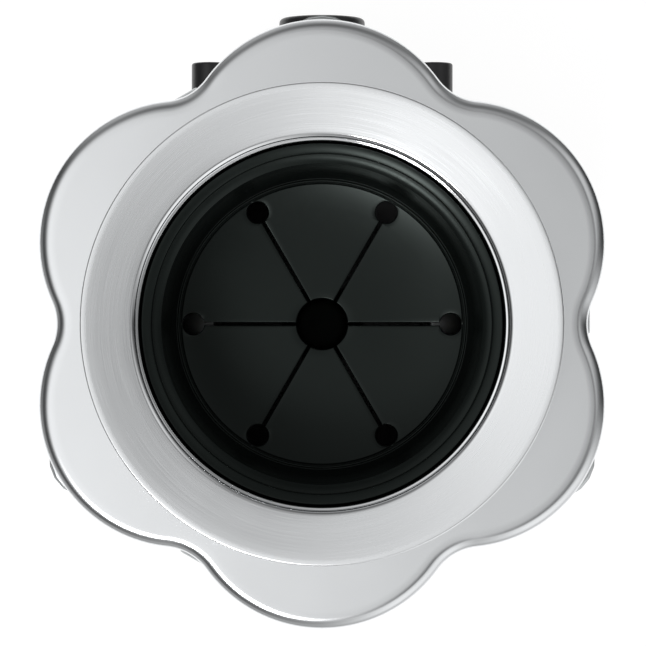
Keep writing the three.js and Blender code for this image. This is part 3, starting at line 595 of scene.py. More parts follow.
def lofted(name: str, rings: Sequence[Sequence[Sequence[float]]], closed: bool = True) -> bpy.types.Object:
    """Skin an object over rings of points.

    Args:
        name: The object's name.
        rings: Rings of points in millimetres, a pole being a ring of one point.
        closed: Whether the last ring joins the first.

    Returns:
        The object.
    """
    mesh = bmesh.new()
    made = [[mesh.verts.new(point) for point in ring] for ring in rings]
    for first, second in zip(made, made[1:] + made[:1] if closed else made[1:]):
        skin(mesh, first, second)
    return finished(name, mesh)


def turned(name: str, profile: Profile, sides: int = 160, steps: int = 5) -> bpy.types.Object:
    """Turn a closed outline of radius and height about Z.

    Args:
        name: The object's name.
        profile: Points of radius, height and, where a corner is round, its radius.
        sides: Points in each ring.
        steps: Segments in each rounded corner.

    Returns:
        The object.
    """
    circle = [(math.cos(TAU * i / sides), math.sin(TAU * i / sides)) for i in range(sides)]
    rings = [
        [(r * c, r * s, z) for c, s in circle] if r > CLOSE else [(0.0, 0.0, z)]
        for r, z in rounded(profile, steps)
    ]
    return lofted(name, rings)


def prism(
    name: str, outline: Profile, low: float, high: float, bevel: float = 0.3, matrix: Matrix | None = None
) -> bpy.types.Object:
    """Raise a closed outline from low to high, with its edges rounded.

    Args:
        name: The object's name.
        outline: Points of x, y and, where a corner is round, its radius.
        low: Where the prism starts.
        high: Where it ends.
        bevel: Width of the rounding along its edges.
        matrix: A turn applied to the finished prism.

    Returns:
        The object.
    """
    mesh = bmesh.new()
    points = rounded(outline)
    ends = [[mesh.verts.new((x, y, z)) for x, y in points] for z in (low, high)]
    skin(mesh, *ends)
    for end in ends:
        mesh.faces.new(end)
    piece = finished(name, mesh, bevel)
    if matrix:
        piece.data.transform(matrix)
    return piece


def box(name: str, low: Sequence[float], high: Sequence[float], bevel: float = 0.3) -> bpy.types.Object:
    """Return a block between two corners, its edges rounded."""
    outline = [(low[0], low[1]), (high[0], low[1]), (high[0], high[1]), (low[0], high[1])]
    return prism(name, outline, low[2], high[2], bevel)


def rod(
    name: str,
    radius: float,
    low: float,
    high: float,
    sides: int = 40,
    corners: tuple[float, float] = (0.0, 0.0),
    steps: int = 5,
) -> bpy.types.Object:
    """Stand a solid cylinder on Z.

    Args:
        name: The object's name.
        radius: Its radius.
        low: Where it starts.
        high: Where it ends.
        sides: Points in each ring.
        corners: Radii that round its lower and its upper edge.
        steps: Segments in each rounded edge.

    Returns:
        The object.
    """
    profile = [(0, low), (radius, low, corners[0]), (radius, high, corners[1]), (0, high)]
    return turned(name, profile, sides, steps)


def cross(arm: float, half: float, low: float, high: float) -> list[bpy.types.Object]:
    """Return two blocks that cut a crossed recess of a given arm and half width."""
    return [box("recess", (-x, -y, low), (x, y, high), 0) for x, y in ((arm, half), (half, arm))]


def settled(piece: bpy.types.Object) -> bpy.types.Object:
    """Make a piece's modifiers part of its mesh.

    Args:
        piece: The piece.

    Returns:
        The piece.
    """
    bpy.context.view_layer.update()
    graph = bpy.context.evaluated_depsgraph_get()
    data = bpy.data.meshes.new_from_object(piece.evaluated_get(graph))
    piece.modifiers.clear()
    old = piece.data
    piece.data = data
    data.name = piece.name
    bpy.data.meshes.remove(old)
    return piece


def combined(piece: bpy.types.Object, cut: Cut, *tools: bpy.types.Object) -> bpy.types.Object:
    """Add solids to a piece or cut them from it.

    Args:
        piece: The piece that stays.
        cut: Whether the tools are added or cut away.
        *tools: The solids, which are used up.

    Returns:
        The piece.
    """
    for tool in tools:
        modifier = piece.modifiers.new(cut.value, "BOOLEAN")
        modifier.object, modifier.operation, modifier.solver = tool, cut.value, "EXACT"
    settled(piece)
    for tool in tools:
        bpy.data.objects.remove(tool)
    mesh = bmesh.new()
    mesh.from_mesh(piece.data)
    bmesh.ops.remove_doubles(mesh, verts=mesh.verts, dist=MERGED_AFTER_CUT)
    shade(mesh)
    mesh.to_mesh(piece.data)
    mesh.free()
    return piece


def moved(piece: bpy.types.Object, x: float = 0.0, y: float = 0.0, z: float = 0.0) -> bpy.types.Object:
    """Move a piece's mesh by millimetres."""
    piece.data.transform(Matrix.Translation((x * MM, y * MM, z * MM)))
    return piece


def laid(piece: bpy.types.Object, matrix: Matrix) -> bpy.types.Object:
    """Turn a piece's mesh."""
    piece.data.transform(matrix)
    return piece


# ------------------------------------------------------------------------------ generators
class Generator(ABC):
    """A geometry node tree with named inputs."""

    title = ""
    inputs: dict[str, str] = {}

    @cached_property
    def tree(self) -> bpy.types.NodeTree:
        """The node tree, made once.

        Returns:
            The tree.
        """
        tree = bpy.data.node_groups.new(self.title, "GeometryNodeTree")
        kinds = {"Geometry": "NodeSocketGeometry", **self.inputs, "Material": "NodeSocketMaterial"}
        for label, kind in kinds.items():
            tree.interface.new_socket(label, in_out="INPUT", socket_type=kind)
        tree.interface.new_socket("Geometry", in_out="OUTPUT", socket_type="NodeSocketGeometry")
        nodes = Nodes(tree)
        given = nodes.add("NodeGroupInput").outputs
        shape = self.lay_out(nodes, given)
        real = nodes.add("GeometryNodeRealizeInstances", {0: shape}).outputs[0]
        dressed = nodes.add("GeometryNodeSetMaterial", {"Geometry": real, "Material": given["Material"]})
        nodes.add("NodeGroupOutput", {0: dressed.outputs[0]})
        return tree

    @abstractmethod
    def lay_out(self, nodes: Nodes, given: Any) -> Any:
        """Build the tree's middle.

        Args:
            nodes: The tree's nodes.
            given: The group's input sockets.

        Returns:
            The geometry socket.
        """

    def applied(self, piece: bpy.types.Object, slot: Slot, **values: Any) -> bpy.types.Object:
        """Run the tree on a piece and keep the result as a plain mesh.

        Args:
            piece: The piece whose mesh goes in.
            slot: The slot whose finish the result gets.
            **values: The tree's inputs by lower-case name.

        Returns:
            The piece.
        """
        modifier = piece.modifiers.new(self.title, "NODES")
        modifier.node_group = self.tree
        values["material"] = FINISHES[slot].material
        for item in self.tree.interface.items_tree:
            if item.in_out == "INPUT" and item.name.lower() in values:
                modifier[item.identifier] = values[item.name.lower()]
        return settled(piece)


class RingArray(Generator):
    """Copies of a shape spaced evenly about Z, each turned to face outwards."""

    title = "ring_array"
    inputs = {"Count": "NodeSocketInt", "Radius": "NodeSocketFloat", "First": "NodeSocketFloat"}

    def lay_out(self, nodes: Nodes, given: Any) -> Any:
        """Instance the shape on points round a circle.

        Args:
            nodes: The tree's nodes.
            given: The group's input sockets.

        Returns:
            The geometry socket.
        """
        index = nodes.add("GeometryNodeInputIndex").outputs[0]
        pitch = nodes.math("DIVIDE", TAU, given["Count"])
        angle = nodes.math("MULTIPLY_ADD", index, pitch, given["First"])
        bearing = nodes.joined(nodes.math("COSINE", angle), nodes.math("SINE", angle))
        position = nodes.scaled(bearing, given["Radius"])
        points = nodes.add("GeometryNodePoints", {"Count": given["Count"], "Position": position})
        turn = nodes.add("FunctionNodeEulerToRotation", {0: nodes.joined(z=angle)}).outputs[0]
        inputs = {"Points": points.outputs[0], "Instance": given["Geometry"], "Rotation": turn}
        return nodes.add("GeometryNodeInstanceOnPoints", inputs).outputs[0]


class ThreadCutter(Generator):
    """A screw thread cut into a round shank that stands on Z."""

    title = "thread_cutter"
    inputs = dict.fromkeys(("Pitch", "Depth", "Low", "High"), "NodeSocketFloat")

    def lay_out(self, nodes: Nodes, given: Any) -> Any:
        """Draw the shank's points inwards along a helix.

        Args:
            nodes: The tree's nodes.
            given: The group's input sockets.

        Returns:
            The geometry socket.
        """
        position = nodes.add("GeometryNodeInputPosition").outputs[0]
        x, y, z = nodes.split(position)
        turn = nodes.math("DIVIDE", nodes.math("ARCTAN2", y, x), TAU)
        phase = nodes.math("SUBTRACT", nodes.math("DIVIDE", z, given["Pitch"]), turn)
        wave = nodes.math("PINGPONG", phase, 0.5)
        depth = nodes.math("MULTIPLY", nodes.math("MULTIPLY", wave, 2.0), given["Depth"])
        above = nodes.math("GREATER_THAN", z, given["Low"])
        below = nodes.math("LESS_THAN", z, given["High"])
        shift = nodes.math("MULTIPLY", depth, nodes.math("MULTIPLY", above, below))
        radial = nodes.vector("NORMALIZE", nodes.joined(x, y))
        inwards = nodes.scaled(radial, nodes.math("MULTIPLY", shift, -1.0))
        inputs = {"Geometry": given["Geometry"], "Offset": inwards}
        return nodes.add("GeometryNodeSetPosition", inputs).outputs[0]


RING_ARRAY = RingArray()
THREAD_CUTTER = ThreadCutter()


def around(
    piece: bpy.types.Object, slot: Slot, count: int, first: float = 0.0, radius: float = 0.0
) -> bpy.types.Object:
    """Repeat a piece evenly about Z.

    Args:
        piece: The piece to repeat.
        slot: The slot whose finish it gets.
        count: How many copies.
        first: Bearing of the first in degrees.
        radius: How far out each stands, in millimetres.

    Returns:
        One piece that holds all copies.
    """
    return RING_ARRAY.applied(piece, slot, count=count, first=math.radians(first), radius=radius * MM)


# ------------------------------------------------------------------------------ sub-assemblies
@dataclass
class Piece:
    """A finished piece with the body it rides on and the nodes it stands for."""

    shape: bpy.types.Object
    body: Body
    slot: Slot
    nodes: tuple[str, ...]

    def dress(self) -> None:
        """Give the piece its slot's finish, attach it to its body and hide the CAD nodes it stands for."""
        self.shape.data.materials.clear()
        self.shape.data.materials.append(FINISHES[self.slot].material)
        for polygon in self.shape.data.polygons:
            polygon.material_index = 0
        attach(self.shape, self.body.value)
        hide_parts(*self.nodes)
        LOG.info("%s: %d faces on %s", self.shape.name, len(self.shape.data.polygons), self.body.value)


class SubAssembly(ABC):
    """A group of pieces that are built and dressed together."""

    @abstractmethod
    def build(self) -> list[Piece]:
        """Build the meshes.

        Returns:
            The pieces, not yet dressed.
        """

    def dress(self, pieces: Sequence[Piece]) -> None:
        """Dress each of the pieces that build returned."""
        for piece in pieces:
            piece.dress()


@dataclass
class DrainFlange(SubAssembly):
    """The flange that shows in the sink, and the gaskets and backup ring that clamp it."""

    radius: float = 57.15
    top: float = 3.6
    sheet: float = 1.5
    dish: float = 1.2  # how far the face falls from its edge to dish_start
    dish_start: float = 46.4
    face_rings: tuple[float, ...] = (55.5, 53.0, 50.5, 48.0)
    throat: float = 43.3
    tube: float = 44.2
    tube_end: float = -41.0
    groove: tuple[float, float] = (-28.8, -26.0)  # the snap ring's groove, low and high
    groove_depth: float = 0.4
    shoulder: float = 45.35  # where the face starts to roll down
    shoulder_roll: float = 1.5
    shoulder_turn: float = 66.0  # degrees the roll turns before the ledge
    ledge_blend: float = 0.3
    ledge_tilt: float = 6.0  # degrees
    ledge_fall: float = 0.03
    edge: float = 0.45
    gasket_bore: float = 46.8
    gasket_radius: float = 54.5
    gasket_gap: float = 0.3
    clamp_bore: float = 44.5
    fibre_radius: float = 56.0
    fibre_low: float = -8.0
    fibre_high: float = -6.0
    backup_radius: float = 56.5
    backup_low: float = -12.3
    backup_high: float = -8.3

    def face(self, radius: float) -> float:
        """Return the height of the dished face at a radius."""
        rim = self.radius - self.edge
        return self.top - self.dish * (rim - radius) / (rim - self.dish_start)

    def shoulder_profile(self) -> list[tuple[float, float]]:
        """Work out the roll from the face down to the ledge in the throat.

        Returns:
            Points of radius and height, from the outside in.
        """
        slope = math.atan2(self.dish, self.radius - self.dish_start)
        turn = math.radians(self.shoulder_turn)
        height = self.face(self.shoulder)
        points = []
        for k in range(13):
            angle = slope + (turn - slope) * k / 12
            points.append((
                self.shoulder - self.shoulder_roll * (math.sin(angle) - math.sin(slope)),
                height - self.shoulder_roll * (math.cos(slope) - math.cos(angle)),
            ))
        radius, height = points[-1]
        for k in range(1, 7):
            angle = turn * (1 - k / 6) + math.radians(self.ledge_tilt) * k / 6
            points.append((
                radius - self.ledge_blend * (math.sin(turn) - math.sin(angle)),
                height - self.ledge_blend * (math.cos(angle) - math.cos(turn)),
            ))
        return points

    def flange(self) -> bpy.types.Object:
        """Build the flange and its tube.

        Returns:
            The flange.
        """
        shoulder = self.shoulder_profile()
        ledge = shoulder[-1][1] - self.ledge_fall
        under, edge_under = self.face(self.dish_start) - self.sheet, self.top - self.sheet
        low, high = self.groove
        groove = self.tube - self.groove_depth
        outline: list[tuple[float, ...]] = [
            (self.throat, self.tube_end, 0.2), (self.tube, self.tube_end, 0.2),
            (self.tube, low, 0.05), (groove, low, 0.05), (groove, high, 0.05), (self.tube, high, 0.05),
            (self.tube, under, 1.6), (self.radius - 0.9, edge_under, 0.2),
            (self.radius, edge_under + 0.1, self.edge), (self.radius, self.top, self.edge),
        ]
        outline += [(r, self.face(r)) for r in self.face_rings]
        outline += [*shoulder, (self.throat + 0.2, ledge, 0.12), (self.throat, -3.0, 0.5)]
        return turned("sink_flange_visual", outline, 256)

    def build(self) -> list[Piece]:
        """Build the flange, its gaskets and the backup ring.

        Returns:
            The pieces.
        """
        inner, outer, under = self.gasket_bore, self.gasket_radius, self.sheet + self.gasket_gap
        gasket = turned("flange_gasket_visual", [
            (inner, 0, 0.15), (outer, 0, 0.4),
            (outer, self.face(outer) - under, 0.4), (inner, self.face(inner) - under, 0.15),
        ])
        bore = self.clamp_bore
        fibre = turned("fiber_gasket_visual", [
            (bore, self.fibre_low, 0.2), (self.fibre_radius, self.fibre_low, 0.3),
            (self.fibre_radius, self.fibre_high, 0.3), (bore, self.fibre_high, 0.2),
        ])
        backup = turned("backup_flange_visual", [
            (bore, self.backup_low, 0.4), (self.backup_radius, self.backup_low, 0.6),
            (self.backup_radius, self.backup_high, 0.9), (bore, self.backup_high, 0.4),
        ])
        return [
            Piece(self.flange(), Body.ROOT, Slot.STAINLESS_FLANGE, ("sink_flange",)),
            Piece(gasket, Body.ROOT, Slot.SEAL_RUBBER, ("flange_gasket",)),
            Piece(fibre, Body.ROOT, Slot.FIBER, ("fiber_gasket",)),
            Piece(backup, Body.ROOT, Slot.ZINC_STEEL, ("backup_flange",)),
        ]


@dataclass
class LobedPlate:
    """The six-lobed outline of the upper mounting ring."""

    lobes: int = 6
    lobe: float = 35.12
    centre: float = 39.78  # how far out each lobe's centre is
    valley: float = 65.3
    lobe_steps: int = 40
    valley_steps: int = 12

    def outline(self, inset: float) -> list[tuple[float, float]]:
        """Draw the plate's edge: lobe arcs joined by tangent arcs in the valleys.

        Args:
            inset: How far inside the edge the line runs.

        Returns:
            The line's points.
        """
        step = math.pi / self.lobes
        reach = self.valley - self.centre * math.cos(step)
        side = self.centre * math.sin(step)
        fillet = (self.lobe**2 - reach**2 - side**2) / (2 * (reach - self.lobe))
        hollow = self.valley + fillet
        half = math.atan2(hollow * math.sin(step), hollow * math.cos(step) - self.centre)
        turn = half - step
        points = []
        for lobe in range(self.lobes):
            toward = (2 * lobe + 1) * step
            arcs = (
                (self.centre, toward, self.lobe - inset, -half, half, self.lobe_steps),
                (hollow, toward + step, fillet + inset, math.pi + turn, math.pi - turn, self.valley_steps),
            )
            for out, bearing, radius, start, end, steps in arcs:
                for i in range(steps):
                    angle = bearing + start + (end - start) * i / steps
                    points.append((
                        out * math.cos(bearing) + radius * math.cos(angle),
                        out * math.sin(bearing) + radius * math.sin(angle),
                    ))
        return points

    def loop(self, inset: float, height: float) -> list[tuple[float, float, float]]:
        """Return the outline as a ring at a height."""
        return [(x, y, height) for x, y in self.outline(inset)]

    def circle(self, radius: float, height: float) -> list[tuple[float, float, float]]:
        """Return a round ring whose points lie at the outline's bearings."""
        sizes = ((x, y, radius / math.hypot(x, y)) for x, y in self.outline(0.0))
        return [(x * size, y * size, height) for x, y, size in sizes]


@dataclass
class TwistLock(SubAssembly):
    """The lobed upper ring with its hooks, the snap ring, the jack screws and the lower ring."""

    plate: LobedPlate = field(default_factory=LobedPlate)
    top: float = -24.0
    sheet: float = 2.0
    bend: float = 3.0
    skirt: float = 9.0
    bore: float = 44.7
    joined: float = 0.6  # how far a welded part reaches into the sheet
    locks: int = 3
    first_ear: float = 90.0  # bearing in degrees
    ear_root: float = 55.0
    ear_tip: float = 77.65
    ear_half: float = 9.6
    hook_near: float = 61.0
    hook_far: float = 67.5
    hook_leg: float = 2.5
    hook_end: float = 6.0
    hook_sheet: float = 2.0
    ramp_fall: float = 1.5
    ring_inner: float = 49.9
    ring_outer: float = 60.0
    ring_top: float = -46.3
    ring_under: float = -48.8
    tab_root: float = 56.5
    tab_face: float = 67.83
    tab_sheet: float = 2.0
    tab_foot: float = -57.3
    tab_sides: tuple[float, float] = (-21.6, 2.4)
    wire: tuple[float, float] = (44.1, 46.3)  # the snap ring's section, near and far
    wire_height: tuple[float, float] = (-28.5, -26.3)
    wire_start: float = 8.0  # bearing in degrees of the snap ring's first end
    screw_circle: float = 51.0
    screw_first: float = 30.0
    screw_radius: float = 3.0
    screw_top: float = -12.6
    head_radius: float = 4.5
    head_low: float = -34.5
    head_high: float = -31.0
    thread: tuple[float, float] = (-30.4, -14.0)  # where it is cut, low and high
    pitch: float = 1.27
    thread_depth: float = 0.55
    collar_bore: float = 3.05
    collar_radius: float = 4.4
    collar_depth: float = 3.0

    def hook(self) -> bpy.types.Object:
        """Build one hook: a stop leg and a ramp.

        Returns:
            The hook, at bearing 0.
        """
        stop = -self.ear_half - 0.5
        back, weld = stop - self.hook_leg, self.top - self.sheet + self.joined
        start = self.ring_under - 0.3
        end = start - self.ramp_fall
        foot = end - self.hook_sheet
        outline = [
            (back, weld), (stop, weld), (stop, start, 0.8), (self.hook_end, end, 0.4),
            (self.hook_end, foot, 0.9), (back, foot, 2.0),
        ]
        return prism("hook", outline, self.hook_near, self.hook_far, 0.35, ALONG_RADIUS)

    def bend_ring(self, radius: float, quarter: float) -> list[tuple[float, float, float]]:
        """Draw a ring round the plate's rolled edge.

        Args:
            radius: The bend's radius at the sheet's outer or inner face.
            quarter: How far round the bend, from 0 on top to 1 at the side.

        Returns:
            The ring's points.
        """
        angle = math.pi / 2 * quarter
        inset, height = radius * math.sin(angle), radius * math.cos(angle)
        return self.plate.loop(self.bend - inset, self.top - self.bend + height)

    def upper_ring(self) -> bpy.types.Object:
        """Build the pressed ring with its rolled edge, hooks and screw collars.

        Returns:
            The ring.
        """
        inner, under = self.bend - self.sheet, self.top - self.sheet
        foot = self.top - self.skirt
        rings = [
            self.plate.circle(self.bore, self.top - 0.2),
            self.plate.circle(self.bore + 0.2, self.top),
            *[self.plate.loop(inset, self.top) for inset in (12.0, 7.5, 4.5)],
            *[self.bend_ring(self.bend, k / 10) for k in range(11)],
            self.plate.loop(0.0, foot + 0.4),
            self.plate.loop(0.12, foot + 0.12),
            self.plate.loop(0.4, foot),
            self.plate.loop(self.sheet - 0.4, foot),
            self.plate.loop(self.sheet, foot + 0.4),
            *[self.bend_ring(inner, 1 - k / 5) for k in range(6)],
            self.plate.loop(12.0, under),
            self.plate.circle(self.bore, under),
        ]
        ring = lofted("upper_mounting_ring_visual", rings)
        low, weld = under - self.collar_depth, under + self.joined
        collar = turned("collar", [
            (self.collar_bore, low, 0.2), (self.collar_radius, low, 0.4),
            (self.collar_radius, weld), (self.collar_bore, weld),
        ], 40, 3)
        hooks = around(self.hook(), Slot.SATIN_STEEL, self.locks, self.first_ear)
        collars = around(collar, Slot.SATIN_STEEL, self.locks, self.screw_first, self.screw_circle)
        return combined(ring, Cut.UNION, hooks, collars)

    def snap_ring(self) -> bpy.types.Object:
        """Build the sprung wire ring in the tube's groove, open at one side.

        Returns:
            The ring.
        """
        (near, far), (low, high) = self.wire, self.wire_height
        section = rounded([(near, low, 0.5), (far, low, 0.9), (far, high, 0.9), (near, high, 0.5)])
        middle = [((near + far) / 2, (low + high) / 2)]
        start, crown = self.wire_start, 0.3  # the ends are crowned by this many degrees
        sweep = 360 - 2 * start
        stations = [
            (start - crown, middle),
            *[(start + sweep * k / 96, section) for k in range(97)],
            (start + sweep + crown, middle),
        ]
        rings = [
            [(r * math.cos(math.radians(turn)), r * math.sin(math.radians(turn)), z) for r, z in outline]
            for turn, outline in stations
        ]
        return lofted("snap_ring_visual", rings, closed=False)

    def jack_screw(self, number: int, bearing: float) -> Piece:
        """Build one threaded jack screw with a slotted head.

        Args:
            number: Its number, from 1.
            bearing: Where it stands, in degrees.

        Returns:
            The piece.
        """
        radius, head, low, high = self.screw_radius, self.head_radius, self.head_low, self.head_high
        shank = [(radius, high - 0.05 + 0.16 * k) for k in range(1, 107)]
        profile = [
            (0, low), (head, low, 0.7), (head, high, 0.3), (radius, high),
            *shank, (radius, self.screw_top - 1.3), (1.9, self.screw_top, 0.2), (0, self.screw_top),
        ]
        screw = turned(f"mounting_screw_{number}_visual", profile, 36, 3)
        slot = box("slot", (-head - 1.5, -0.6, low - 1.5), (head + 1.5, 0.6, low + 1.5), 0)
        combined(screw, Cut.DIFFERENCE, slot)
        start, end = self.thread
        THREAD_CUTTER.applied(
            screw, Slot.ZINC_STEEL,
            pitch=self.pitch * MM, depth=self.thread_depth * MM, low=start * MM, high=end * MM,
        )
        around(screw, Slot.ZINC_STEEL, 1, bearing, self.screw_circle)
        return Piece(screw, Body(f"jack_screw_{number}"), Slot.ZINC_STEEL, (f"mounting_screw_{number}",))

    def lower_ring(self) -> bpy.types.Object:
        """Build the lower ring with its three ears and three wrench tabs.

        Returns:
            The ring.
        """
        high, low = self.ring_top, self.ring_under
        ring = turned("lower_mounting_ring_visual", [
            (self.ring_inner, low, 0.5), (self.ring_outer, low, 0.5),
            (self.ring_outer, high, 0.7), (self.ring_inner, high, 0.5),
        ])
        half, root, tip = self.ear_half, self.ear_root, self.ear_tip
        outline = [(root, -half), (tip, -half, half), (tip, half, half), (root, half)]
        ear = prism("ear", outline, low, high, 0.5)
        face, foot = self.tab_face, self.tab_foot
        back = face - self.tab_sheet
        outline = [
            (self.tab_root, low), (back, low, 0.8), (back, foot), (face, foot), (face, high, 2.6),
            (self.tab_root, high),
        ]
        tab = prism("tab", outline, *self.tab_sides, 0.35, ALONG_TANGENT)
        ears = around(ear, Slot.ZINC_STEEL, self.locks, self.first_ear)
        tabs = around(tab, Slot.ZINC_STEEL, self.locks, self.first_ear + 30)
        return combined(ring, Cut.UNION, ears, tabs)

    def gasket(self) -> bpy.types.Object:
        """Build the cushion between the tube and the hopper's lip.

        Returns:
            The gasket.
        """
        return turned("mounting_gasket_visual", [
            (41.5, -42.7, 0.3), (54.0, -42.7, 0.4), (54.0, -41.2, 0.4), (46.2, -41.2, 0.8),
            (46.0, -36.0, 0.5), (44.5, -36.0, 0.3), (44.5, -41.3, 0.1), (41.5, -41.3, 0.3),
        ])

    def build(self) -> list[Piece]:
        """Build the whole mount.

        Returns:
            The pieces.
        """
        step = 360 / self.locks
        screws = [self.jack_screw(i + 1, self.screw_first + step * i) for i in range(self.locks)]
        return [
            Piece(self.upper_ring(), Body.ROOT, Slot.SATIN_STEEL, ("upper_mounting_ring",)),
            Piece(self.snap_ring(), Body.ROOT, Slot.ZINC_STEEL, ("snap_ring",)),
            *screws,
            Piece(self.lower_ring(), Body.LOCK_RING, Slot.ZINC_STEEL, ("lower_mounting_ring",)),
            Piece(self.gasket(), Body.ROOT, Slot.SEAL_RUBBER, ("mounting_gasket",)),
        ]


@dataclass
class SplashBaffle(SubAssembly):
    """The rubber cup in the throat, whose floor is split into six flaps."""

    radius: float = 42.95
    top: float = -2.0
    disc: float = 34.8
    disc_top: float = -35.0
    dish: float = 2.2
    thickness: float = 2.2
    centre_hole: float = 6.4
    relief: float = 2.7
    relief_circle: float = 32.0
    slit: float = 0.75
    flaps: int = 6
    skirt_end: float = -41.0
    columns: int = 26  # across each flap, between the roundings at its sides
    edge_steps: int = 5  # across each rounding
    lip: float = 0.3  # rounding along the edges of the slits and holes
    groove: float = 0.5  # depth of the groove round the floor
    bowl: int = 4  # how suddenly the floor rises at its rim
    step_height: float = -5.2
    step_crest: float = 41.0
    step_curve: float = 4.0
    step_rings: tuple[float, ...] = (38.4, 38.9, 39.4, 39.9, 40.3)
    step_edge: float = 40.55
    bead_crest: float = 43.3
    bead_curve: float = 6.0
    bead_rings: tuple[float, ...] = (41.0, 41.5, 42.0, 42.4)
    wall: float = 2.35

    def half_slit(self, radius: float) -> float:
        """Work out how wide a slit is, where it ends in its relief hole.

        Args:
            radius: Distance from the middle.

        Returns:
            The angle from the slit's middle to its edge, in radians.
        """
        if radius >= self.relief_circle + self.relief - MERGED:
            return 0.0
        slit = math.asin(self.slit / 2 / radius) if radius < self.relief_circle else 0.0
        cosine = (radius**2 + self.relief_circle**2 - self.relief**2) / (2 * radius * self.relief_circle)
        return max(slit, math.acos(cosine) if cosine < 1 else 0.0)

    def near_edge(self) -> list[float]:
        """Return distances from an edge that follow its rounding."""
        steps = self.edge_steps
        return [self.lip * (1 - math.cos(math.pi / 2 * k / steps)) for k in range(steps + 1)]

    def floor_radii(self) -> list[float]:
        """Space the rings across the floor, close together at its edges.

        Returns:
            The rings' radii.
        """
        hole_start = self.relief_circle - self.relief
        near = self.near_edge()
        inner = [self.centre_hole + d for d in near]
        plain_start, plain_end = inner[-1], hole_start - self.lip
        plain = [plain_start + (plain_end - plain_start) * k / 12 for k in range(1, 12)]
        before = [hole_start - d for d in reversed(near)]
        through = [self.relief_circle - self.relief * math.cos(math.pi * k / 20) for k in range(1, 21)]
        return [*inner, *plain, *before, *through]

    def rise(self, radius: float) -> float:
        """Return the height of the floor's top at a radius: a shallow bowl."""
        return self.disc_top - self.dish * (1 - (radius / self.disc) ** self.bowl)

    def drop(self, radius: float, angle: float) -> float:
        """Return how far the top is rounded down at a point.

        Args:
            radius: Distance from the middle.
            angle: Bearing from the nearest slit's middle, in radians.

        Returns:
            The drop, zero away from every edge.
        """
        x, y = radius * math.cos(angle), abs(radius * math.sin(angle))
        gaps = [radius - self.centre_hole, math.hypot(x - self.relief_circle, y) - self.relief]
        if x < self.relief_circle:
            gaps.append(y - self.slit / 2)
        gap = min(max(min(gaps), 0.0), self.lip)
        return self.lip - math.sqrt(self.lip**2 - (self.lip - gap) ** 2)

    def wall_profile(self) -> list[tuple[float, float]]:
        """Draw the cup's section from the floor's edge up over the bead and down the outside.

        Returns:
            Points of radius and height.
        """
        edge, top, end = self.radius, self.top, self.skirt_end
        start, level = self.relief_circle + self.relief, self.disc_top
        under = level - self.thickness
        step = [
            (r, self.roll(r, self.step_crest, self.step_curve, self.step_height)) for r in self.step_rings
        ]
        crowned = (self.step_edge, *self.bead_rings)
        corner, *bead = [(r, self.roll(r, self.bead_crest, self.bead_curve, top)) for r in crowned]
        return rounded([
            (start + 0.35, level, 0.1), (start + 0.45, level - self.groove, 0.08),
            (start + 0.62, level - self.groove, 0.08), (start + 0.72, level + 0.06, 0.2),
            (start + 1.1, level + 0.06, 0.2), (start + 1.25, level - 0.3, 0.08),
            (start + 1.5, level - 0.3, 0.1), (start + 1.8, level + 1.4, 0.8),
            (edge - 5.4, level + 7, 4.0), (edge - 5.0, top - 7.5, 1.2),
            *step, (self.step_edge, self.step_height - 0.02, 0.2), (*corner, 0.4), *bead,
            (edge, top, 0.5), (edge, end, 0.4),
            (edge - self.wall, end, 0.4), (edge - self.wall, under, 0.6), (start + 0.05, under),
        ], 6)

    @staticmethod
    def roll(radius: float, crest: float, curve: float, height: float) -> float:
        """Return the height at a radius of a convex roll.

        Args:
            radius: Distance from the middle.
            crest: Radius of the roll's highest point.
            curve: The roll's own radius.
            height: Height of the highest point.

        Returns:
            The height.
        """
        return height - curve + math.sqrt(curve**2 - (crest - radius) ** 2)

    def bearings(self, radius: float) -> list[float]:
        """Space the points across one flap, close together at its sides.

        Args:
            radius: Distance from the middle.

        Returns:
            Their angles from the flap's first slit, in radians.
        """
        pitch = TAU / self.flaps
        gap = self.half_slit(radius)
        side = [gap + d / radius for d in self.near_edge()]
        first, last = side[-1], pitch - side[-1]
        inside = [first + (last - first) * k / self.columns for k in range(1, self.columns)]
        return [*side, *inside, *[pitch - angle for angle in reversed(side)]]

    def build(self) -> list[Piece]:
        """Build the baffle as six sectors with shared seams and open slits.

        Returns:
            The piece.
        """
        radii = self.floor_radii()
        top = [(r, self.rise(r), True, True) for r in radii]
        wall = [(r, z, False, False) for r, z in self.wall_profile()]
        under = [(r, self.rise(r) - self.thickness, True, False) for r in reversed(radii)]
        section = top + wall + under
        pitch = TAU / self.flaps
        mesh = bmesh.new()
        for flap in range(self.flaps):
            grid = []
            for radius, height, split, is_top in section:
                angles = self.bearings(radius if split else self.disc)
                row = []
                for angle in angles:
                    drop = self.drop(radius, min(angle, pitch - angle)) if is_top else 0.0
                    turn = angle + flap * pitch
                    x, y = radius * math.cos(turn), radius * math.sin(turn)
                    row.append(mesh.verts.new((x, y, height - drop)))
                grid.append(row)
            sides = len(grid[0])
            for first, second in zip(grid, grid[1:] + grid[:1]):
                for j in range(sides - 1):
                    mesh.faces.new((first[j], first[j + 1], second[j + 1], second[j]))
            last = len(section) - 1
            for k in range(len(radii) - 1):
                for j in (0, sides - 1):
                    mesh.faces.new((grid[k][j], grid[k + 1][j], grid[last - k - 1][j], grid[last - k][j]))
        piece = finished("splash_baffle_visual", mesh)
        return [Piece(piece, Body.BAFFLE, Slot.BAFFLE_RUBBER, ("splash_baffle",))]


